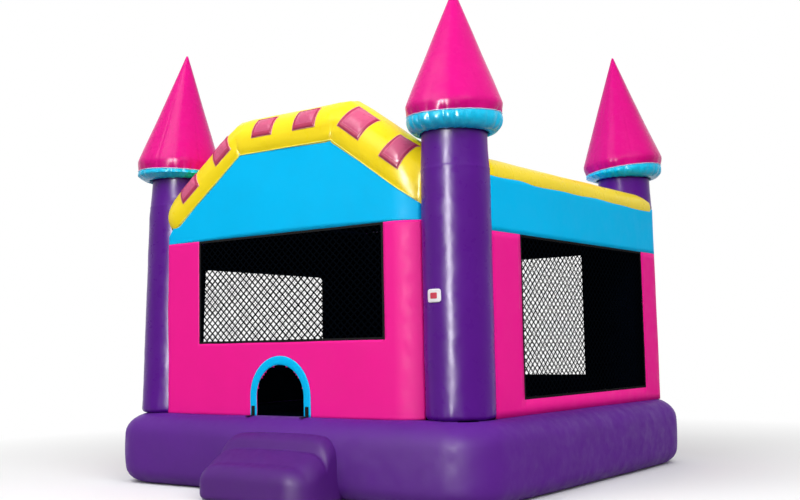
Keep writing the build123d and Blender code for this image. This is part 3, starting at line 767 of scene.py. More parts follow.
trim_low, trim_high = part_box("door_trim")
TRIM_WIDTH = 0.085
TRIM_THICKNESS = trim_high.y - trim_low.y
DOOR_CENTRE = (trim_low.x + trim_high.x) / 2
DOOR_HALF = (trim_high.x - trim_low.x) / 2 - TRIM_WIDTH
DOOR_SPRING = trim_high.z - DOOR_HALF - TRIM_WIDTH
DOOR_GRID = 0.024


def door_distance(x, z):
    """How far a point of the front wall is outside the doorway's edge."""
    if z < DOOR_SPRING:
        return abs(x - DOOR_CENTRE) - DOOR_HALF
    return hypot(x - DOOR_CENTRE, z - DOOR_SPRING) - DOOR_HALF


def to_door_edge(x, z):
    """Pulls the grid's points beside the doorway onto its edge."""
    off = door_distance(x, z)
    if abs(off) > DOOR_GRID * 0.52 or z < DOOR_SPRING:
        return x, z
    share = DOOR_HALF / hypot(x - DOOR_CENTRE, z - DOOR_SPRING)
    return DOOR_CENTRE + (x - DOOR_CENTRE) * share, DOOR_SPRING + (z - DOOR_SPRING) * share


def window_of(node, along):
    """A net's box as (start, end, sill, head) along its wall."""
    low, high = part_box(node)
    return low[along], high[along], low.z, high.z


WINDOWS = {
    "front": window_of("front_net", 0), "back": window_of("back_net", 0),
    "left": window_of("left_net", 1), "right": window_of("right_net", 1),
}
PLANS = {"front": front_plan, "back": back_plan, "left": side_plan(-1), "right": side_plan(1)}
WRAP = radians(30)


def wall_reach(side):
    """Where a wall starts and ends along its plan."""
    if side in ("front", "back"):
        return -column_chord(), column_chord()
    return side_low.y, COLUMN_CENTRE + WRAP * (COLUMN_RADIUS + SHEET)


def wall_area(side, top):
    start, end = wall_reach(side)
    s0, s1, z0, z1 = WINDOWS[side]
    area = (end - start) * (top - RING_TOP) - (s1 - s0) * (z1 - z0)
    if side == "front":
        area -= 2 * DOOR_HALF * (DOOR_SPRING - RING_TOP) + pi * DOOR_HALF ** 2 / 2
    return area


def make_wall(side):
    start, end = wall_reach(side)
    s0, s1, z0, z1 = WINDOWS[side]
    top = WALL_TOPS[side]
    at, up = [s0, s1], [z0, z1]
    if side == "front":
        at += [DOOR_CENTRE - DOOR_HALF, DOOR_CENTRE, DOOR_CENTRE + DOOR_HALF]
        up += [DOOR_SPRING, DOOR_SPRING + DOOR_HALF]
    pitch = DOOR_GRID if side == "front" else 0.06
    columns = cuts(start, end, pitch, *at)
    heights = cuts(RING_TOP - 0.004, top, pitch, *up)

    def hole(s, z):
        window = s0 < s < s1 and z0 < z < z1
        return window or (side == "front" and door_distance(s, z) < 0)

    # Painted shade: the sheet's inner face is painted near-black.
    made = sheet_piece(f"{side}_wall_sheet", PLANS[side], columns, heights, hole, ("pink", "lining"),
                       warp=to_door_edge if side == "front" else None)
    # Painted light: the back wall's inner face is painted dull red under its window.
    if side == "back":
        paint_sill_light(made, s0, s1, z0)
    finish_piece(made, "pink_vinyl", f"{side}_wall")
    hems = make_hem(side)
    net = make_net(side)
    box = (end - start, top - RING_TOP)
    max(0.3 * box[0] * box[1], wall_area(side, top))


def paint_sill_light(made, s0, s1, sill):
    """Painted light: the strip of wall under the far window is painted dull red on its inner face, standing
    in for the pink wall there dimly lit by that window.
    """
    made.data.materials.append(MATERIALS["sill"])
    for face in made.data.polygons:
        inner = made.data.materials[face.material_index] == MATERIALS["lining"]
        if inner and s0 < face.center.x < s1 and sill - PAINTED_SILL_LIGHT_HEIGHT < face.center.z < sill:
            face.material_index = len(made.data.materials) - 1


def make_hem(side):
    """Black binding round a window, just inside the opening's edge."""
    plan, width = PLANS[side], HEM_WIDTH
    s0, s1, z0, z1 = WINDOWS[side]
    outer = [(s0, z0), (s1, z0), (s1, z1), (s0, z1)]
    inner = [(s0 + width, z0 + width), (s1 - width, z0 + width), (s1 - width, z1 - width),
             (s0 + width, z1 - width)]
    loop_out, loop_in = [], []
    for k in range(4):
        a, b = outer[k], outer[(k + 1) % 4]
        c, d = inner[k], inner[(k + 1) % 4]
        count = max(2, round(hypot(b[0] - a[0], b[1] - a[1]) / 0.08))
        for i in range(count):
            t = i / count
            loop_out.append((a[0] + (b[0] - a[0]) * t, a[1] + (b[1] - a[1]) * t))
            loop_in.append((c[0] + (d[0] - c[0]) * t, c[1] + (d[1] - c[1]) * t))
    rows = []
    for depth, loop in ((-0.0005, loop_out), (0.001, loop_in), (-0.007, loop_in), (-0.0075, loop_out)):
        row = []
        for s, z in loop:
            place, out = plan(s)
            row.append(place + out * (depth - 0.002 + rough((s, z, 0), 6.0, 0.001)) + Vector((0, 0, z)))
        rows.append(row)
    made = surface(f"{side}_window_hem", rows, "webbing", closed=True, looped=True, smooth=False)
    return finish_piece(made, "black_net")


def make_net(side):
    """Knotted netting: two sets of slanting cords that pass over and under each other."""
    plan = PLANS[side]
    s0, s1, z0, z1 = WINDOWS[side]
    rate = NET_HEIGHT / NET_WIDTH
    points, faces = [], []
    half = NET_CORD[side] / 2
    thick = min(half * 0.5, 0.0022)

    def knot(s, z, depth):
        place, out = plan(min(max(s, s0), s1))
        return place + out * (depth - 0.006) + Vector((0, 0, min(max(z, z0), z1)))

    for lean in (1, -1):
        first = floor((z0 - (s1 if lean > 0 else -s0) * rate) / NET_HEIGHT)
        last = ceil((z1 - (s0 if lean > 0 else -s1) * rate) / NET_HEIGHT)
        for number in range(first, last + 1):
            base = number * NET_HEIGHT
            ends = sorted(((z0 - base) * lean / rate, (z1 - base) * lean / rate))
            low, high = max(s0, ends[0]), min(s1, ends[1])
            if high - low < 0.02:
                continue
            count = max(1, ceil((high - low) / (NET_WIDTH / 2)))
            begin = len(points)
            for i in range(count + 1):
                s = low + (high - low) * i / count
                z = base + lean * rate * s
                over = 0.0016 * lean * (1 if round(s / (NET_WIDTH / 2)) % 2 else -1)
                ds, dz = half * rate / hypot(1, rate), half / hypot(1, rate)
                for u, w, depth in ((ds, -lean * dz, over), (0, 0, over + thick),
                                    (-ds, lean * dz, over), (0, 0, over - thick)):
                    points.append(knot(s + u, z + w, depth))
            for i in range(count):
                faces += four_sides(begin + i * 4, begin + i * 4 + 4)
            faces.append((begin + 3, begin + 2, begin + 1, begin))
            tail = begin + count * 4
            faces.append((tail, tail + 1, tail + 2, tail + 3))
    made = piece(f"{side}_netting", points, faces, "net", smooth=False)
    return finish_piece(made, "black_net", f"{side}_net")


# ---- arch, beams, gable and valances -------------------------------------------------------
arch_low, arch_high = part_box("front_arch_beam")
ARCH_RADIUS = (arch_high.y - arch_low.y) / 2
ARCH_Y = (arch_low.y + arch_high.y) / 2
ARCH_TOP = arch_high.z - ARCH_RADIUS
ARCH_SLOPE = radians(35.4)
ARCH_KNEE = 0.588            # centre to a knee along the gable's seam
ARCH_LIFT = sqrt(ARCH_RADIUS ** 2 - (ARCH_RADIUS - (-WALL_FACE - arch_low.y)) ** 2)
KNEE_X = ARCH_KNEE + ARCH_LIFT * tan(ARCH_SLOPE / 2)
ARCH_BURY = 0.10             # how far the right end runs on behind the column's side


def arch_axis(x):
    """Height of the arch's axis over a place across the front."""
    return ARCH_TOP - max(0.0, abs(x) - KNEE_X) * tan(ARCH_SLOPE)


def arch_rings():
    """Stations along the arch: axis point, up direction across the tube, and stretch at a mitre."""
    stations = []
    foot = column_chord()
    close = (0.015, 0.035, 0.07, 0.12, 0.2)
    places = cuts(0.0, KNEE_X, 0.09, *[KNEE_X - c for c in close])
    places += cuts(KNEE_X, foot, 0.07, *[KNEE_X + c * cos(ARCH_SLOPE) for c in close],
                   *[foot - c for c in (0.006, 0.015, 0.03, 0.05, 0.08, 0.12, 0.17, 0.22)])[1:]
    places = [-x for x in reversed(places[1:])] + places + spread(foot, foot + ARCH_BURY, 4)[1:]
    for x in places:
        side = 1 if x > 0 else -1
        off = abs(x) - KNEE_X
        blend = smooth_step(0.5 + off / 0.06)
        angle = ARCH_SLOPE * blend * side
        stretch = 1.0 / cos(min(ARCH_SLOPE * blend, ARCH_SLOPE * (1 - blend)))
        up = Vector((sin(angle), 0, cos(angle)))
        stations.append((Vector((x, ARCH_Y, arch_axis(x))), up, stretch, off))
    return stations


def arch_radius_at(x, off):
    """The tube draws in at a knee's seam, and rounds off at its left end on the column's front."""
    knee = -0.010 * bell(off, 0.022)
    end = sqrt(1 - (1 - min(1.0, max(0.0, (column_chord() + x) / 0.13))) ** 2)
    return (ARCH_RADIUS + knee) * (0.78 + 0.22 * end)


def arch_swell(x):
    """How far the tube's upper side stands out of its plain round section."""
    return 0.020 + 0.022 * max(0.0, x) / column_chord()


def drawn_back(point):
    """A point of the arch, bent back with the front wall where it nears the right column."""
    share = min(1.0, max(0.0, (point.x - TUCK_START) / (column_chord() - TUCK_START)))
    front = smooth_step((ARCH_Y - point.y) / ARCH_RADIUS / 0.6)
    pull, depth = TUCK_PULL * share, TUCK_DEPTH * share * share
    return point + Vector((-pull, depth, pull * tan(ARCH_SLOPE))) * front


def make_arch():
    rows = []
    for axis, up, stretch, off in arch_rings():
        radius = arch_radius_at(axis.x, off)
        row = []
        for angle in round_turn(56):
            r = radius + rough((axis.x, cos(angle), sin(angle)), 2.4, 0.006)
            r += 0.004 * bell(off, 0.08) * sin(angle * 14 + axis.x * 30)
            r += arch_swell(axis.x) * max(0.0, sin(angle))
            spot = axis + Vector((0, 1, 0)) * (r * cos(angle)) + up * (r * stretch * sin(angle))
            row.append(drawn_back(spot))
        rows.append(row)
    made = surface("arch_tube", rows, "yellow", closed=True, caps=True)
    # Painted shade: the tube's side that faces the room, under its axis and the roof, is painted
    # near-black.
    room, head = -WALL_FACE + 0.01, ROOF_FOOT + 0.02
    paint_inside_shade(made, lambda c: c.y > room and c.x < TUCK_START and c.z < min(arch_axis(c.x), head))
    finish_piece(made, "yellow_vinyl", "front_arch_beam")


def make_welt(name, path, radius, material, slot):
    return finish_piece(tube_along(name, path, radius, material, sides=8), slot)


def make_gable():
    """The blue sheet under the arch, and the pale welt along its seam with the tube."""
    foot = column_chord()
    columns = cuts(-foot, foot, 0.04, -ARCH_KNEE, ARCH_KNEE, -KNEE_X, KNEE_X)
    shares = spread(0, 1, 18)
    low = FRONT_WALL_TOP
    tuck = 0.05

    def seam(s):
        x = front_plan(s)[0].x
        if abs(x) < ARCH_KNEE:
            return ARCH_TOP - ARCH_LIFT
        return min(ARCH_TOP - ARCH_LIFT, arch_axis(x) - ARCH_LIFT / cos(ARCH_SLOPE))

    def top(s):
        return seam(s) + tuck * (smooth_step((foot + s) / 0.12) if s < 0 else 1.0)

    def warp(s, share):
        return s, low + (top(s) - low) * share

    # Painted shade: the sheet's inner face is painted near-black, except above the roof.
    made = sheet_piece("gable_sheet", PLANS["front"], columns, shares, None, ("blue", "lining"),
                       0.005, warp)
    for face in made.data.polygons:
        if face.center.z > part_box("roof_cover")[1].z:
            face.material_index = 0
    finish_piece(made, "blue_vinyl", "front_gable_panel")
    area = sum((b - a) * ((top(a) + top(b)) / 2 - low) for a, b in zip(columns, columns[1:]))
    top(0) - low
    path = []
    for x in columns:
        place = front_plan(x)[0]
        if 0.13 - foot < x < foot - 0.01:
            path.append(place + Vector((0, -0.001, seam(x))))
    make_welt("arch_welt", path, 0.0045, "welt", "yellow_vinyl")


# each pad: side of the gable, place along its run, length, arc and tilt up from the tube's front
PADS = {
    "left_top_pad": (0, -0.275, 0.262, radians(46), radians(33)),
    "right_top_pad": (0, 0.270, 0.275, radians(46), radians(33)),
    "left_slope_pad_upper": (-1, 0.205, 0.255, radians(46), radians(27)),
    "left_slope_pad_lower": (-1, 0.775, 0.285, radians(42), radians(26)),
    "right_slope_pad_upper": (1, 0.190, 0.290, radians(58), radians(40)),
    "right_slope_pad_lower": (1, 0.775, 0.289, radians(58), radians(39)),
}
PAD_THICKNESS = 0.014


def make_pad(number, name):
    """A quilted square: a crowned middle, a darker sewn border whose extra width on its lower side is
    painted shade, and a pale edge.
    """
    side, place, length, arc_wide, tilt = PADS[name]
    if side:
        down = Vector((side * cos(ARCH_SLOPE), 0, -sin(ARCH_SLOPE)))
        centre, along = Vector((side * KNEE_X, ARCH_Y, ARCH_TOP)) + down * place, down * side
        up = Vector((side * sin(ARCH_SLOPE), 0, cos(ARCH_SLOPE)))
    else:
        centre, along, up = Vector((place, ARCH_Y, ARCH_TOP)), Vector((1, 0, 0)), Vector((0, 0, 1))

    def grid(lift, grow):
        rows = []
        for v in spread(-1, 1, 20):
            row = []
            for u in spread(-1, 1, 20):
                spot = centre + along * (u * (length / 2 + grow))
                angle = tilt + v * (arc_wide / 2 + grow / ARCH_RADIUS)
                out = Vector((0, -1, 0)) * cos(angle) + up * sin(angle)
                radius = ARCH_RADIUS + arch_swell(spot.x) * sin(angle)
                row.append(drawn_back(spot + out * (radius + lift(u, v))))
            rows.append(row)
        return rows

    def border(u, v):
        """Depth in from the edge, as a share of the border's width: wider on the lower side, where its
        darker colour is painted shade.
        """
        lower = (v + 1) * arc_wide * ARCH_RADIUS / 2 / 0.040
        upper = (1 - v) * arc_wide * ARCH_RADIUS / 2 / 0.020
        return min((1 - abs(u)) * length / 2 / 0.026, upper, lower)

    def crown(u, v):
        inside = border(u, v)
        edge = PAD_THICKNESS * 0.55 * smooth_step(inside * 2.4)
        groove = -0.005 * bell(inside - 1.0, 0.22)
        middle = 0.012 * smooth_step((inside - 1) / 2) * (1 - u * u * 0.4) * (1 - v * v * 0.4)
        return 0.0035 + edge + groove + middle + 0.0012 * noise.noise(Vector((u * 5, v * 5, number)))

    # The darker border: the pad's own trim, and painted shade where it widens on the lower side.
    def pick(i, j):
        u, v = -1 + (j + 0.5) / 10, -1 + (i + 0.5) / 10
        return 0 if border(u, v) > 1 else 1

    made = patch(name, grid(crown, 0.0), grid(lambda u, v: 0.0006, 0.0), "pad", "pad_border", pick=pick)
    edge = patch(f"{name}_edge", grid(lambda u, v: 0.0030, 0.006),
                 grid(lambda u, v: -0.004, 0.006), "pad_piping")
    finish_piece(edge, "pad_vinyl")
    return made


def make_pads():
    for number, name in enumerate(PADS):
        finish_piece(make_pad(number, name), "pad_vinyl", "arch_pads")


beam_low, beam_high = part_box("back_beam")
BEAM_RADIUS = (beam_high.y - beam_low.y) / 2
BEAM_HEIGHT = (beam_low.z + beam_high.z) / 2
BEAM_PROUD = beam_high.y - WALL_FACE
BEAM_END = 0.07
side_beam_low, side_beam_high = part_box("right_beam")


def beam_path(side):
    """Stations along a beam's axis: place, and how full the tube is there."""
    if side == "back":
        reach = column_chord() + 0.003
        stops = cuts(-reach, reach, 0.08)
        return [(s, 1.0) for s in stops]
    end = side_beam_high.y
    stops = cuts(side_beam_low.y, end - BEAM_END, 0.08)
    rounded = [(end - BEAM_END + BEAM_END * sin(a), 1 - (1 - cos(a)) * BEAM_END / BEAM_RADIUS)
               for a in spread(0, pi / 2, 7)]
    return [(s, 1.0) for s in stops[:-1]] + rounded


def make_beam(side):
    plan = PLANS[side]
    rows = []
    straight = plan(0.0)[1]
    base_place = plan(0.0)[0]
    along = Vector((-straight.y, straight.x, 0))
    if along.y < 0 or (side == "back" and along.x < 0):
        along = -along
    rate = along.x if side == "back" else along.y
    for s, full in beam_path(side):
        centre = base_place + along * (s / rate) - straight * (BEAM_RADIUS - BEAM_PROUD)
        centre.z = BEAM_HEIGHT
        row = []
        for angle in round_turn(48):
            r = BEAM_RADIUS * full + rough((centre.x, centre.y, angle), 2.2, 0.004)
            row.append(centre + straight * (r * cos(angle)) + Vector((0, 0, r * sin(angle))))
        rows.append(row)
    made = surface(f"{side}_beam_tube", rows, "yellow", closed=True, caps=True)
    # Painted shade: the tube's side that faces the room, below the higher of its axis and the roof's foot,
    # is painted near-black.
    reach = straight.dot(base_place) - 0.012
    paint_inside_shade(made, lambda c: c.dot(straight) < reach and c.z < max(BEAM_HEIGHT, ROOF_FOOT + 0.01))
    finish_piece(made, "yellow_vinyl", f"{side}_beam")


def make_valance(side):
    start, end = wall_reach(side)
    top = BEAM_HEIGHT - 0.012
    columns = cuts(start, end, 0.05)
    heights = cuts(WALL_TOPS[side], top, 0.05)
    # Painted shade: the sheet's inner face is painted near-black.
    made = sheet_piece(f"{side}_valance_sheet", PLANS[side], columns, heights, None, ("blue", "lining"))
    finish_piece(made, "blue_vinyl", f"{side}_valance")


def make_roof():
    """A low-crowned sheet of five panels, drawn down a little at each seam."""
    low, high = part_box("roof_cover")
    half = high.x
    front, back = low.y + 0.15, high.y
    crown = high.z - low.z - 0.008
    panels = 5
    rows = []
    for y in cuts(front, back, 0.07):
        row = []
        for x in cuts(-half, half, 0.05):
            share = (x / half) ** 2
            seam = ((x / half + 1) * panels / 2) % 1.0
            dip = 0.010 * bell(min(seam, 1 - seam), 0.05)
            z = low.z + 0.004 + crown * (1 - share) - dip + rough((x, y, 0), 2.0, 0.010)
            row.append(Vector((x, y, z)))
        rows.append(row)
    # Painted shade: the sheet's underside is painted near-black.
    made = surface("roof_sheet", rows, "blue", "lining")
    thicken(made, SHEET, 0.0, 1)
    finish_piece(made, "roof_vinyl", "roof_cover")


# ---- door ----------------------------------------------------------------------------------
def door_line(offset, foot):
    """Points along the doorway's edge, offset outwards, from its left foot to its right foot."""
    radius = DOOR_HALF + offset
    line = [(-radius, z) for z in spread(foot, DOOR_SPRING, 8)[:-1]]
    line += arc((0, DOOR_SPRING), radius, 180, 0, 40)
    line += [(radius, z) for z in spread(DOOR_SPRING, foot, 8)[1:]]
    return [(DOOR_CENTRE + x, z) for x, z in line]


def make_door_trim():
    foot = trim_low.z
    face = -WALL_FACE - GAP
    top, under = [], []
    for t in spread(0, 1, 8):
        offset = TRIM_WIDTH * t
        swell = TRIM_THICKNESS * (0.35 + 0.65 * sin(pi * min(1, max(0, t))) ** 0.5)
        line = door_line(offset, foot)
        top.append([Vector((x, face - swell + rough((x, t, z), 7.0, 0.0008), z)) for x, z in line])
        under.append([Vector((x, face, z)) for x, z in line])
    made = patch("door_band", top, under, "blue")
    finish_piece(made, "blue_vinyl", "door_trim")


def strap_piece(name, path, width, thickness, side, material="webbing"):
    """A flat strap along a path of (point, outward direction), with rounded edges."""
    rows = []
    for point, out in path:
        row = []
        for u, t in ((-0.5, 0.15), (-0.46, 0.5), (-0.2, 0.56), (0.2, 0.56), (0.46, 0.5), (0.5, 0.15),
                     (0.5, -0.3), (0.46, -0.5), (-0.46, -0.5), (-0.5, -0.3)):
            row.append(Vector(point) + Vector(side) * (u * width) + Vector(out) * (t * thickness))
        rows.append(row)
    return surface(name, rows, material, closed=True, caps=True)


def make_door_tabs():
    low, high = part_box("door_tabs")
    width, thick = 0.042, 0.005
    over = RING_TOP + GAP + thick / 2
    face = high.y - thick / 2
    made = []
    for label, x in (("left", low.x + width / 2), ("right", high.x - width / 2)):
        path = [((x, face, z), (0, -1, 0)) for z in spread(high.z, over + 0.012, 7)]
        path += [((x, face - 0.012 + 0.012 * cos(a), over + 0.012 - 0.012 * sin(a)),
                  (0, -cos(a), sin(a))) for a in spread(0, pi / 2, 5)[1:]]
        path += [((x, y, over - 0.10 * max(0.0, face - 0.06 - y)), (0, 0, 1))
                 for y in spread(face - 0.02, low.y, 5)]
        made.append(strap_piece(f"door_tab_{label}", path, width, thick, (1, 0, 0)))
    finish_piece(made[0], "black_webbing", "door_tabs")
    finish_piece(made[1], "black_webbing", "door_tabs")


# ---- entry step ----------------------------------------------------------------------------
step_low, step_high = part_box("entry_step")
STEP_FRONT_TOP = 0.330       # height of the top just behind its brow
STEP_CREASE = 0.150          # from the ring to the crease in front of the roll
STEP_CREASE_HEIGHT = 0.455
STEP_CORNERS = (0.21, 0.25)  # the front corners in plan, left and right
STEP_BACK_CORNERS = (0.13, 0.19)
STEP_BROW = 0.14
STEP_WIDER = 0.045           # the soft pillow spreads to the left
STEP_FOOT = 0.05
STEP_BURY = 0.20             # the pillow's back lies against the ring's rounded side


def step_spot(u, v, inset):
    """A place in the step's plan for -1 to 1 across and back, drawn in from the edge by inset."""
    half_x = (step_high.x - step_low.x + STEP_WIDER) / 2 - 0.004 - inset
    back, front = -RING_HALF + STEP_BURY, step_low.y + 0.004 + inset
    half_y = (back - front) / 2
    corner = max(0.04, (STEP_BACK_CORNERS if v > 0 else STEP_CORNERS)[u > 0] - inset)
    x, y = u * half_x, v * half_y
    a, b = (abs(x) - half_x + corner) / corner, (abs(y) - half_y + corner) / corner
    if a > 0 and b > 0:
        x = (half_x - corner + corner * a * sqrt(1 - b * b / 2)) * (1 if u > 0 else -1)
        y = (half_y - corner + corner * b * sqrt(1 - a * a / 2)) * (1 if v > 0 else -1)
    return (step_low.x - STEP_WIDER + step_high.x) / 2 + x, (back + front) / 2 + y


def step_top(y):
    """The pillow's upper side: a crowned seat that climbs to a crease, then a roll along the ring."""
    brow, crease = step_low.y + STEP_BROW, -RING_HALF - STEP_CREASE
    groove = -0.020 * bell(y - crease, 0.018)
    if y < crease:
        t = max(0.0, (y - brow) / (crease - brow))
        climb = (STEP_CREASE_HEIGHT - STEP_FRONT_TOP) * t * (1.1 - 0.1 * t)
        return STEP_FRONT_TOP + climb + groove
    t = min(1.0, (y - crease) / STEP_CREASE)
    return STEP_CREASE_HEIGHT + (step_high.z - STEP_CREASE_HEIGHT) * sin(pi / 2 * t) ** 0.62 + groove


def step_skin(u, v, inset, drop, share=None):
    """A point of the pillow's skin: drop below its top, or a share of the way up its side."""
    x, y = step_spot(u, v, inset)
    off = 2 * x / (step_high.x - step_low.x) - (step_high.x + step_low.x) / (step_high.x - step_low.x)
    top = step_top(y) - 0.05 * abs(off) ** 5
    z = top - drop
    if share is not None:
        z = STEP_FOOT + (top - STEP_BROW - STEP_FOOT) * share - drop
    swell = rough((x, y, z), 1.8, 0.006)
    return Vector((x, y, max(0.0, z + swell * min(1.0, z / 0.15))))


def make_step():
    across = [-1, -0.97, -0.93, -0.88] + spread(-0.82, 0.82, 30) + [0.88, 0.93, 0.97, 1]
    back = [-1, -0.95, -0.88] + spread(-0.8, 0.8, 44) + [0.88, 0.95, 1]
    ring = [(u, -1) for u in across] + [(1, v) for v in back[1:]]
    ring += [(u, 1) for u in reversed(across[:-1])] + [(-1, v) for v in reversed(back[1:-1])]
    edges = []
    for a in spread(90, 0, 10):
        edges.append((STEP_BROW * (1 - cos(radians(a))), STEP_BROW * (1 - sin(radians(a))), None))
    for share in spread(1, 0, 5)[1:-1]:
        edges.append((0.0, 0.0, share))
    for a in spread(0, 90, 7):
        edges.append((STEP_FOOT * (1 - cos(radians(a))), STEP_FOOT * sin(radians(a)), 0.0))
    points, index = [], {}
    for v in back:
        for u in across:
            index[(u, v)] = len(points)
            points.append(step_skin(u, v, STEP_BROW, 0.0))
    faces = []
    for j in range(len(back) - 1):
        for i in range(len(across) - 1):
            faces.append((index[(across[i], back[j])], index[(across[i + 1], back[j])],
                          index[(across[i + 1], back[j + 1])], index[(across[i], back[j + 1])]))
    last = [index[spot] for spot in ring]
    for inset, drop, share in edges[1:]:
        row = []
        for u, v in ring:
            row.append(len(points))
            points.append(step_skin(u, v, inset, drop, share))
        count = len(row)
        for k in range(count):
            m = (k + 1) % count
            faces.append((last[m], last[k], row[k], row[m]))
        last = row
    faces.append(tuple(reversed(last)))
    # The step's vinyl is darkened as painted shade.
    made = piece("step_pillow", points, faces, "step")
    finish_piece(made, "purple_vinyl", "entry_step")


# ---- label, anchors, sleeve and zip --------------------------------------------------------
def make_label():
    """A bare white patch with a plain bar, on the front right column."""
    centre = axis_of("front_right")
    middle, height, half = radians(-90 - 9), 1.765, 0.074
    tall = 0.057

    def grid(lift, size_s, size_z, corner):
        rows = []
        for v in spread(-1, 1, 12):
            row = []
            for u in spread(-1, 1, 12):
                s, z = u * size_s, v * size_z
                squeeze = 1 - corner * (abs(u) * abs(v)) ** 6
                angle = middle + s * squeeze / COLUMN_RADIUS
                out = Vector((cos(angle), sin(angle), 0))
                row.append(centre + out * (COLUMN_RADIUS + lift) + Vector((0, 0, height + z * squeeze)))
            rows.append(row)
        return rows

    back = patch("label_patch", grid(0.0085, half, tall, 0.12), grid(0.002, half, tall, 0.12), "label")
    bar = patch("label_bar", grid(0.0100, half * 0.5, tall * 0.45, 0.05),
                grid(0.0080, half * 0.5, tall * 0.45, 0.05), "label_bar")
    finish_piece(back, "column_vinyl")
    finish_piece(bar, "pad_vinyl")


def make_straps():
    """Anchor straps: a tail sewn to the ring and a loop round the D-ring's bar."""
    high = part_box("anchor_straps")[1]
    width, thick = 0.050, 0.003
    loop_radius = 0.0044
    for side, axis in (("left", 1), ("back", 0)):
        for number in (1, 2):
            ring_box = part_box(f"anchor_ring_{side}_{number}")
            place = (ring_box[0][axis] + ring_box[1][axis]) / 2
            bar_z = ring_box[1].z - 0.004
            out = Vector((-1, 0, 0)) if side == "left" else Vector((0, 1, 0))
            across = Vector((0, 1, 0)) if side == "left" else Vector((1, 0, 0))
            base = out * RING_HALF + across * place
            far = GAP + thick + loop_radius
            path = []
            for z in spread(high.z, bar_z, 9)[:-1]:
                path.append((base + out * (GAP + thick / 2) + Vector((0, 0, z)), out))
            for a in spread(180, -65, 14):
                way = out * cos(radians(a)) + Vector((0, 0, -sin(radians(a))))
                spot = base + out * far + Vector((0, 0, bar_z)) + way * (loop_radius + thick / 2)
                path.append((spot, -way))
            made = strap_piece(f"anchor_strap_{side}_{number}", path, width, thick, across)
            finish_piece(made, "black_webbing", "anchor_straps")
            make_box_stitch(f"strap_stitch_{side}_{number}", base, out, across, high.z)


def make_box_stitch(name, base, out, across, top):
    """A sewn box with a cross, as small raised stitches on the strap's tail."""
    points, faces = [], []
    w, h, stitch = 0.019, 0.024, 0.006
    middle = top - 0.045
    runs = [((-w, -h), (w, -h)), ((w, -h), (w, h)), ((w, h), (-w, h)), ((-w, h), (-w, -h)),
            ((-w, -h), (w, h)), ((-w, h), (w, -h))]
    for (u0, v0), (u1, v1) in runs:
        length = hypot(u1 - u0, v1 - v0)
        count = max(1, round(length / stitch))
        du, dv = (u1 - u0) / length, (v1 - v0) / length
        for i in range(count):
            begin, end = (i + 0.15) / count, (i + 0.85) / count
            first = len(points)
            for t in (begin, end):
                for n, lift in ((-0.0006, 0.0032), (0.0006, 0.0032), (0.0006, 0.0046), (-0.0006, 0.0046)):
                    u = u0 + (u1 - u0) * t - dv * n
                    v = v0 + (v1 - v0) * t + du * n
                    points.append(base + across * u + Vector((0, 0, middle + v)) + out * (GAP + lift))
            a = first
            faces += [(a, a + 1, a + 2, a + 3), (a + 7, a + 6, a + 5, a + 4)]
            faces += [tuple(reversed(face)) for face in four_sides(a, a + 4)]
    finish_piece(piece(name, points, faces, "piping", smooth=False), "black_webbing")


def make_sleeve():
    low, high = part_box("inflation_sleeve")
    band_low, band_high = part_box("sleeve_band")
    centre = ((low.x + high.x) / 2, (low.z + high.z) / 2)
    radius = (high.x - low.x) / 2
    wall = 0.004
    clip = (band_low.y + band_high.y) / 2

    def ring(y, r, crumple):
        row = []
        for a in round_turn(72):
            near = exp(-abs(y - clip) / 0.09)
            folds = crumple * (0.5 + near) * (sin(a * 13 + y * 6) * 0.5 + noise.noise(
                Vector((cos(a) * 3, sin(a) * 3, y * 5))))
            pinch = crumple * -1.2 * bell(y - clip, 0.035)
            reach = r + folds + pinch
            row.append(Vector((centre[0] + reach * cos(a), y, centre[1] + reach * sin(a))))
        return row

    stops = cuts(low.y, high.y, 0.022)
    folded = {y: 0.0035 if y < high.y - 0.03 else 0.001 for y in stops}
    rows = [ring(y, radius - 0.003, folded[y]) for y in stops]
    rows.append(ring(high.y, radius + 0.001, 0.0005))
    rows += [ring(y, radius - wall - 0.003, folded[y]) for y in reversed(stops)]
    made = surface("sleeve_tube", rows, "sleeve", closed=True, looped=True)
    finish_piece(made, "sleeve_fabric", "inflation_sleeve")
    band = []
    outer = (band_high.x - band_low.x) / 2
    edge = [(0.0, -0.0025), (0.0, -0.0004), (0.002, 0.0002)]
    section = [(band_low.y + inset, outer + lift) for inset, lift in edge]
    section += [(band_high.y - inset, outer + lift) for inset, lift in reversed(edge)]
    for y, r in section:
        band.append([Vector((centre[0] + r * cos(a), y, centre[1] + r * sin(a))) for a in round_turn(72)])
    cinch = surface("cinch_band", band, "webbing", closed=True, looped=True)
    finish_piece(cinch, "black_webbing", "sleeve_band")


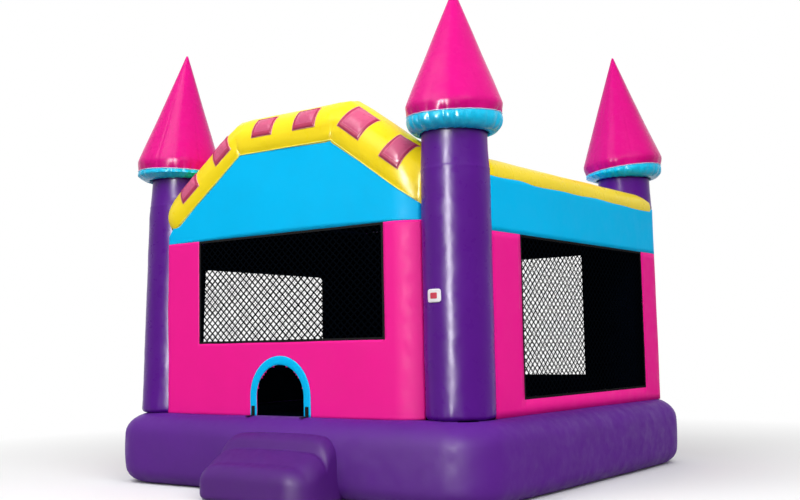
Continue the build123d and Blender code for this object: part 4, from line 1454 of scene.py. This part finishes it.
def make_zip():
    """The tape with its woven edges, and a closed chain of moulded teeth."""
    low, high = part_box("zip_tape")
    chain_low, chain_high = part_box("zip_chain")
    middle = (low.z + high.z) / 2
    path = [((x, (low.y + high.y) / 2, middle), (0, 1, 0)) for x in spread(low.x, high.x, 40)]
    tape = strap_piece("zip_tape_strip", path, high.z - low.z, high.y - low.y, (0, 0, 1))
    finish_piece(tape, "black_webbing", "zip_tape")
    points, faces = [], []
    pitch, length = 0.0045, 0.0030
    count = int((chain_high.x - chain_low.x) / pitch)
    half = (chain_high.z - chain_low.z) / 2
    for i in range(count):
        x = chain_low.x + (i + 0.5) * pitch
        reach = (-half, half * 0.35) if i % 2 else (-half * 0.35, half)
        first = len(points)
        for y, inset in ((chain_low.y, 0.0), (chain_high.y - 0.001, 0.0), (chain_high.y, 0.0007)):
            for dx, z in ((-1, reach[0]), (1, reach[0]), (1, reach[1]), (-1, reach[1])):
                points.append((x + dx * (length / 2 - inset), y, middle + z - (inset if z > 0 else -inset)))
        for level in (0, 4):
            faces += four_sides(first + level, first + level + 4)
        faces.append((first + 8, first + 9, first + 10, first + 11))
        faces.append((first + 3, first + 2, first + 1, first))
    finish_piece(piece("zip_teeth", points, faces, "plastic", smooth=False), "black_plastic", "zip_chain")


def dress_cad_nodes():
    """Rigid pieces keep their own shape and get their metal or plastic."""
    rings = [f"anchor_ring_{side}_{number}" for side in ("left", "back") for number in (1, 2)]
    for name in [*rings, "zip_slider", "zip_pull"]:
        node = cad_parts[name]
        node.data.materials.clear()
        node.data.materials.append(MATERIALS["steel"])
    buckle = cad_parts["sleeve_buckle"]
    buckle.data.materials.clear()
    buckle.data.materials.append(MATERIALS["plastic"])


# ---- stage and light -----------------------------------------------------------------------
def seen_rays(n):
    """1 for rays that show the surroundings: from the camera, and by reflection or transmission."""
    path = n.add("ShaderNodeLightPath")
    either = n.add("ShaderNodeMath", {0: path.outputs["Is Camera Ray"], 1: path.outputs["Is Glossy Ray"]},
                   operation="MAXIMUM")
    return n.add("ShaderNodeMath", {0: either.outputs[0], 1: path.outputs["Is Transmission Ray"]},
                 operation="MAXIMUM").outputs[0]


def make_stage():
    """A pale floor that keeps the shadow near the house and turns to white further out."""
    rows = [[Vector((x, y, -0.002)) for x in (-60, 60)] for y in (-60, 60)]
    n = Nodes("studio_floor")
    seen = seen_rays(n)
    colour = n.ramp(seen, [(0.0, [0.45, 0.45, 0.45, 1]), (1.0, [0.93, 0.93, 0.93, 1])])
    n.link("Base Color", colour)
    n.set(Roughness=0.9, Specular_IOR_Level=0.0)
    distance = n.add("ShaderNodeVectorMath", {0: n.place}, operation="LENGTH").outputs["Value"]
    far = n.add("ShaderNodeMapRange", {"Value": distance}, From_Min=3.6, From_Max=8.5).outputs["Result"]
    white = n.add("ShaderNodeEmission", {"Strength": seen}).outputs[0]
    mix = n.add("ShaderNodeMixShader", {0: far, 1: n.shader.outputs[0], 2: white}).outputs[0]
    n.tree.links.new(mix, n.tree.nodes["Material Output"].inputs["Surface"])
    MATERIALS["stage"] = n.material
    surface("studio_floor", rows, "stage")


def lamp(name, azimuth, elevation, distance, size, power, centre=(0, 0, 1.8)):
    """A rectangular soft lamp that looks at the middle of the house; azimuth 0 is in front of it."""
    data = bpy.data.lights.new(name, "AREA")
    data.shape = "RECTANGLE"
    data.size, data.size_y = size
    data.energy = power
    made = bpy.data.objects.new(name, data)
    bpy.context.scene.collection.objects.link(made)
    a, e = radians(azimuth), radians(elevation)
    way = Vector((sin(a) * cos(e), -cos(a) * cos(e), sin(e)))
    made.location = Vector(centre) + way * distance
    made.rotation_mode = "QUATERNION"
    made.rotation_quaternion = way.to_track_quat("Z", "Y")
    return made


def make_world(strength):
    world = bpy.data.worlds.new("studio")
    world.use_nodes = True
    bpy.context.scene.world = world
    tree = world.node_tree
    background = tree.nodes["Background"]
    background.inputs["Color"].default_value = (1, 1, 1, 1)
    path = tree.nodes.new("ShaderNodeLightPath")
    most = None
    for ray in ("Is Camera Ray", "Is Glossy Ray", "Is Transmission Ray"):
        if most is None:
            most = path.outputs[ray]
            continue
        either = tree.nodes.new("ShaderNodeMath")
        either.operation = "MAXIMUM"
        tree.links.new(most, either.inputs[0])
        tree.links.new(path.outputs[ray], either.inputs[1])
        most = either.outputs[0]
    level = tree.nodes.new("ShaderNodeMapRange")
    level.inputs["To Min"].default_value = strength
    level.inputs["To Max"].default_value = 1.0
    tree.links.new(most, level.inputs["Value"])
    tree.links.new(level.outputs["Result"], background.inputs["Strength"])


# ---- assembly ------------------------------------------------------------------------------
def main():
    make_camera()
    make_ring()
    make_floor()
    for number, corner in enumerate(CORNERS):
        make_column(corner)
        make_collar(corner, number + 1.0)
        make_cone(corner, number + 1.0)
        make_turret_piping(corner, number + 1.0)
    make_arch()
    make_pads()
    for side in ("right", "left", "back"):
        make_beam(side)
        make_valance(side)
    for side in ("front", "right", "left", "back"):
        make_wall(side)
    make_gable()
    make_roof()
    make_door_trim()
    make_door_tabs()
    make_step()
    make_label()
    make_straps()
    make_sleeve()
    make_zip()
    dress_cad_nodes()
    make_stage()
    lamp("key", -8, 42, 12, (6, 6), 590)
    strip = lamp("strip", 14, 8, 11, (1.5, 6.4), 4200)
    strip.visible_diffuse = False
    fill = lamp("right_fill", 58, 32, 12, (7, 6), 600)
    fill.visible_glossy = False
    make_world(0.62)
    bpy.context.scene.view_settings.view_transform = "Standard"


main()
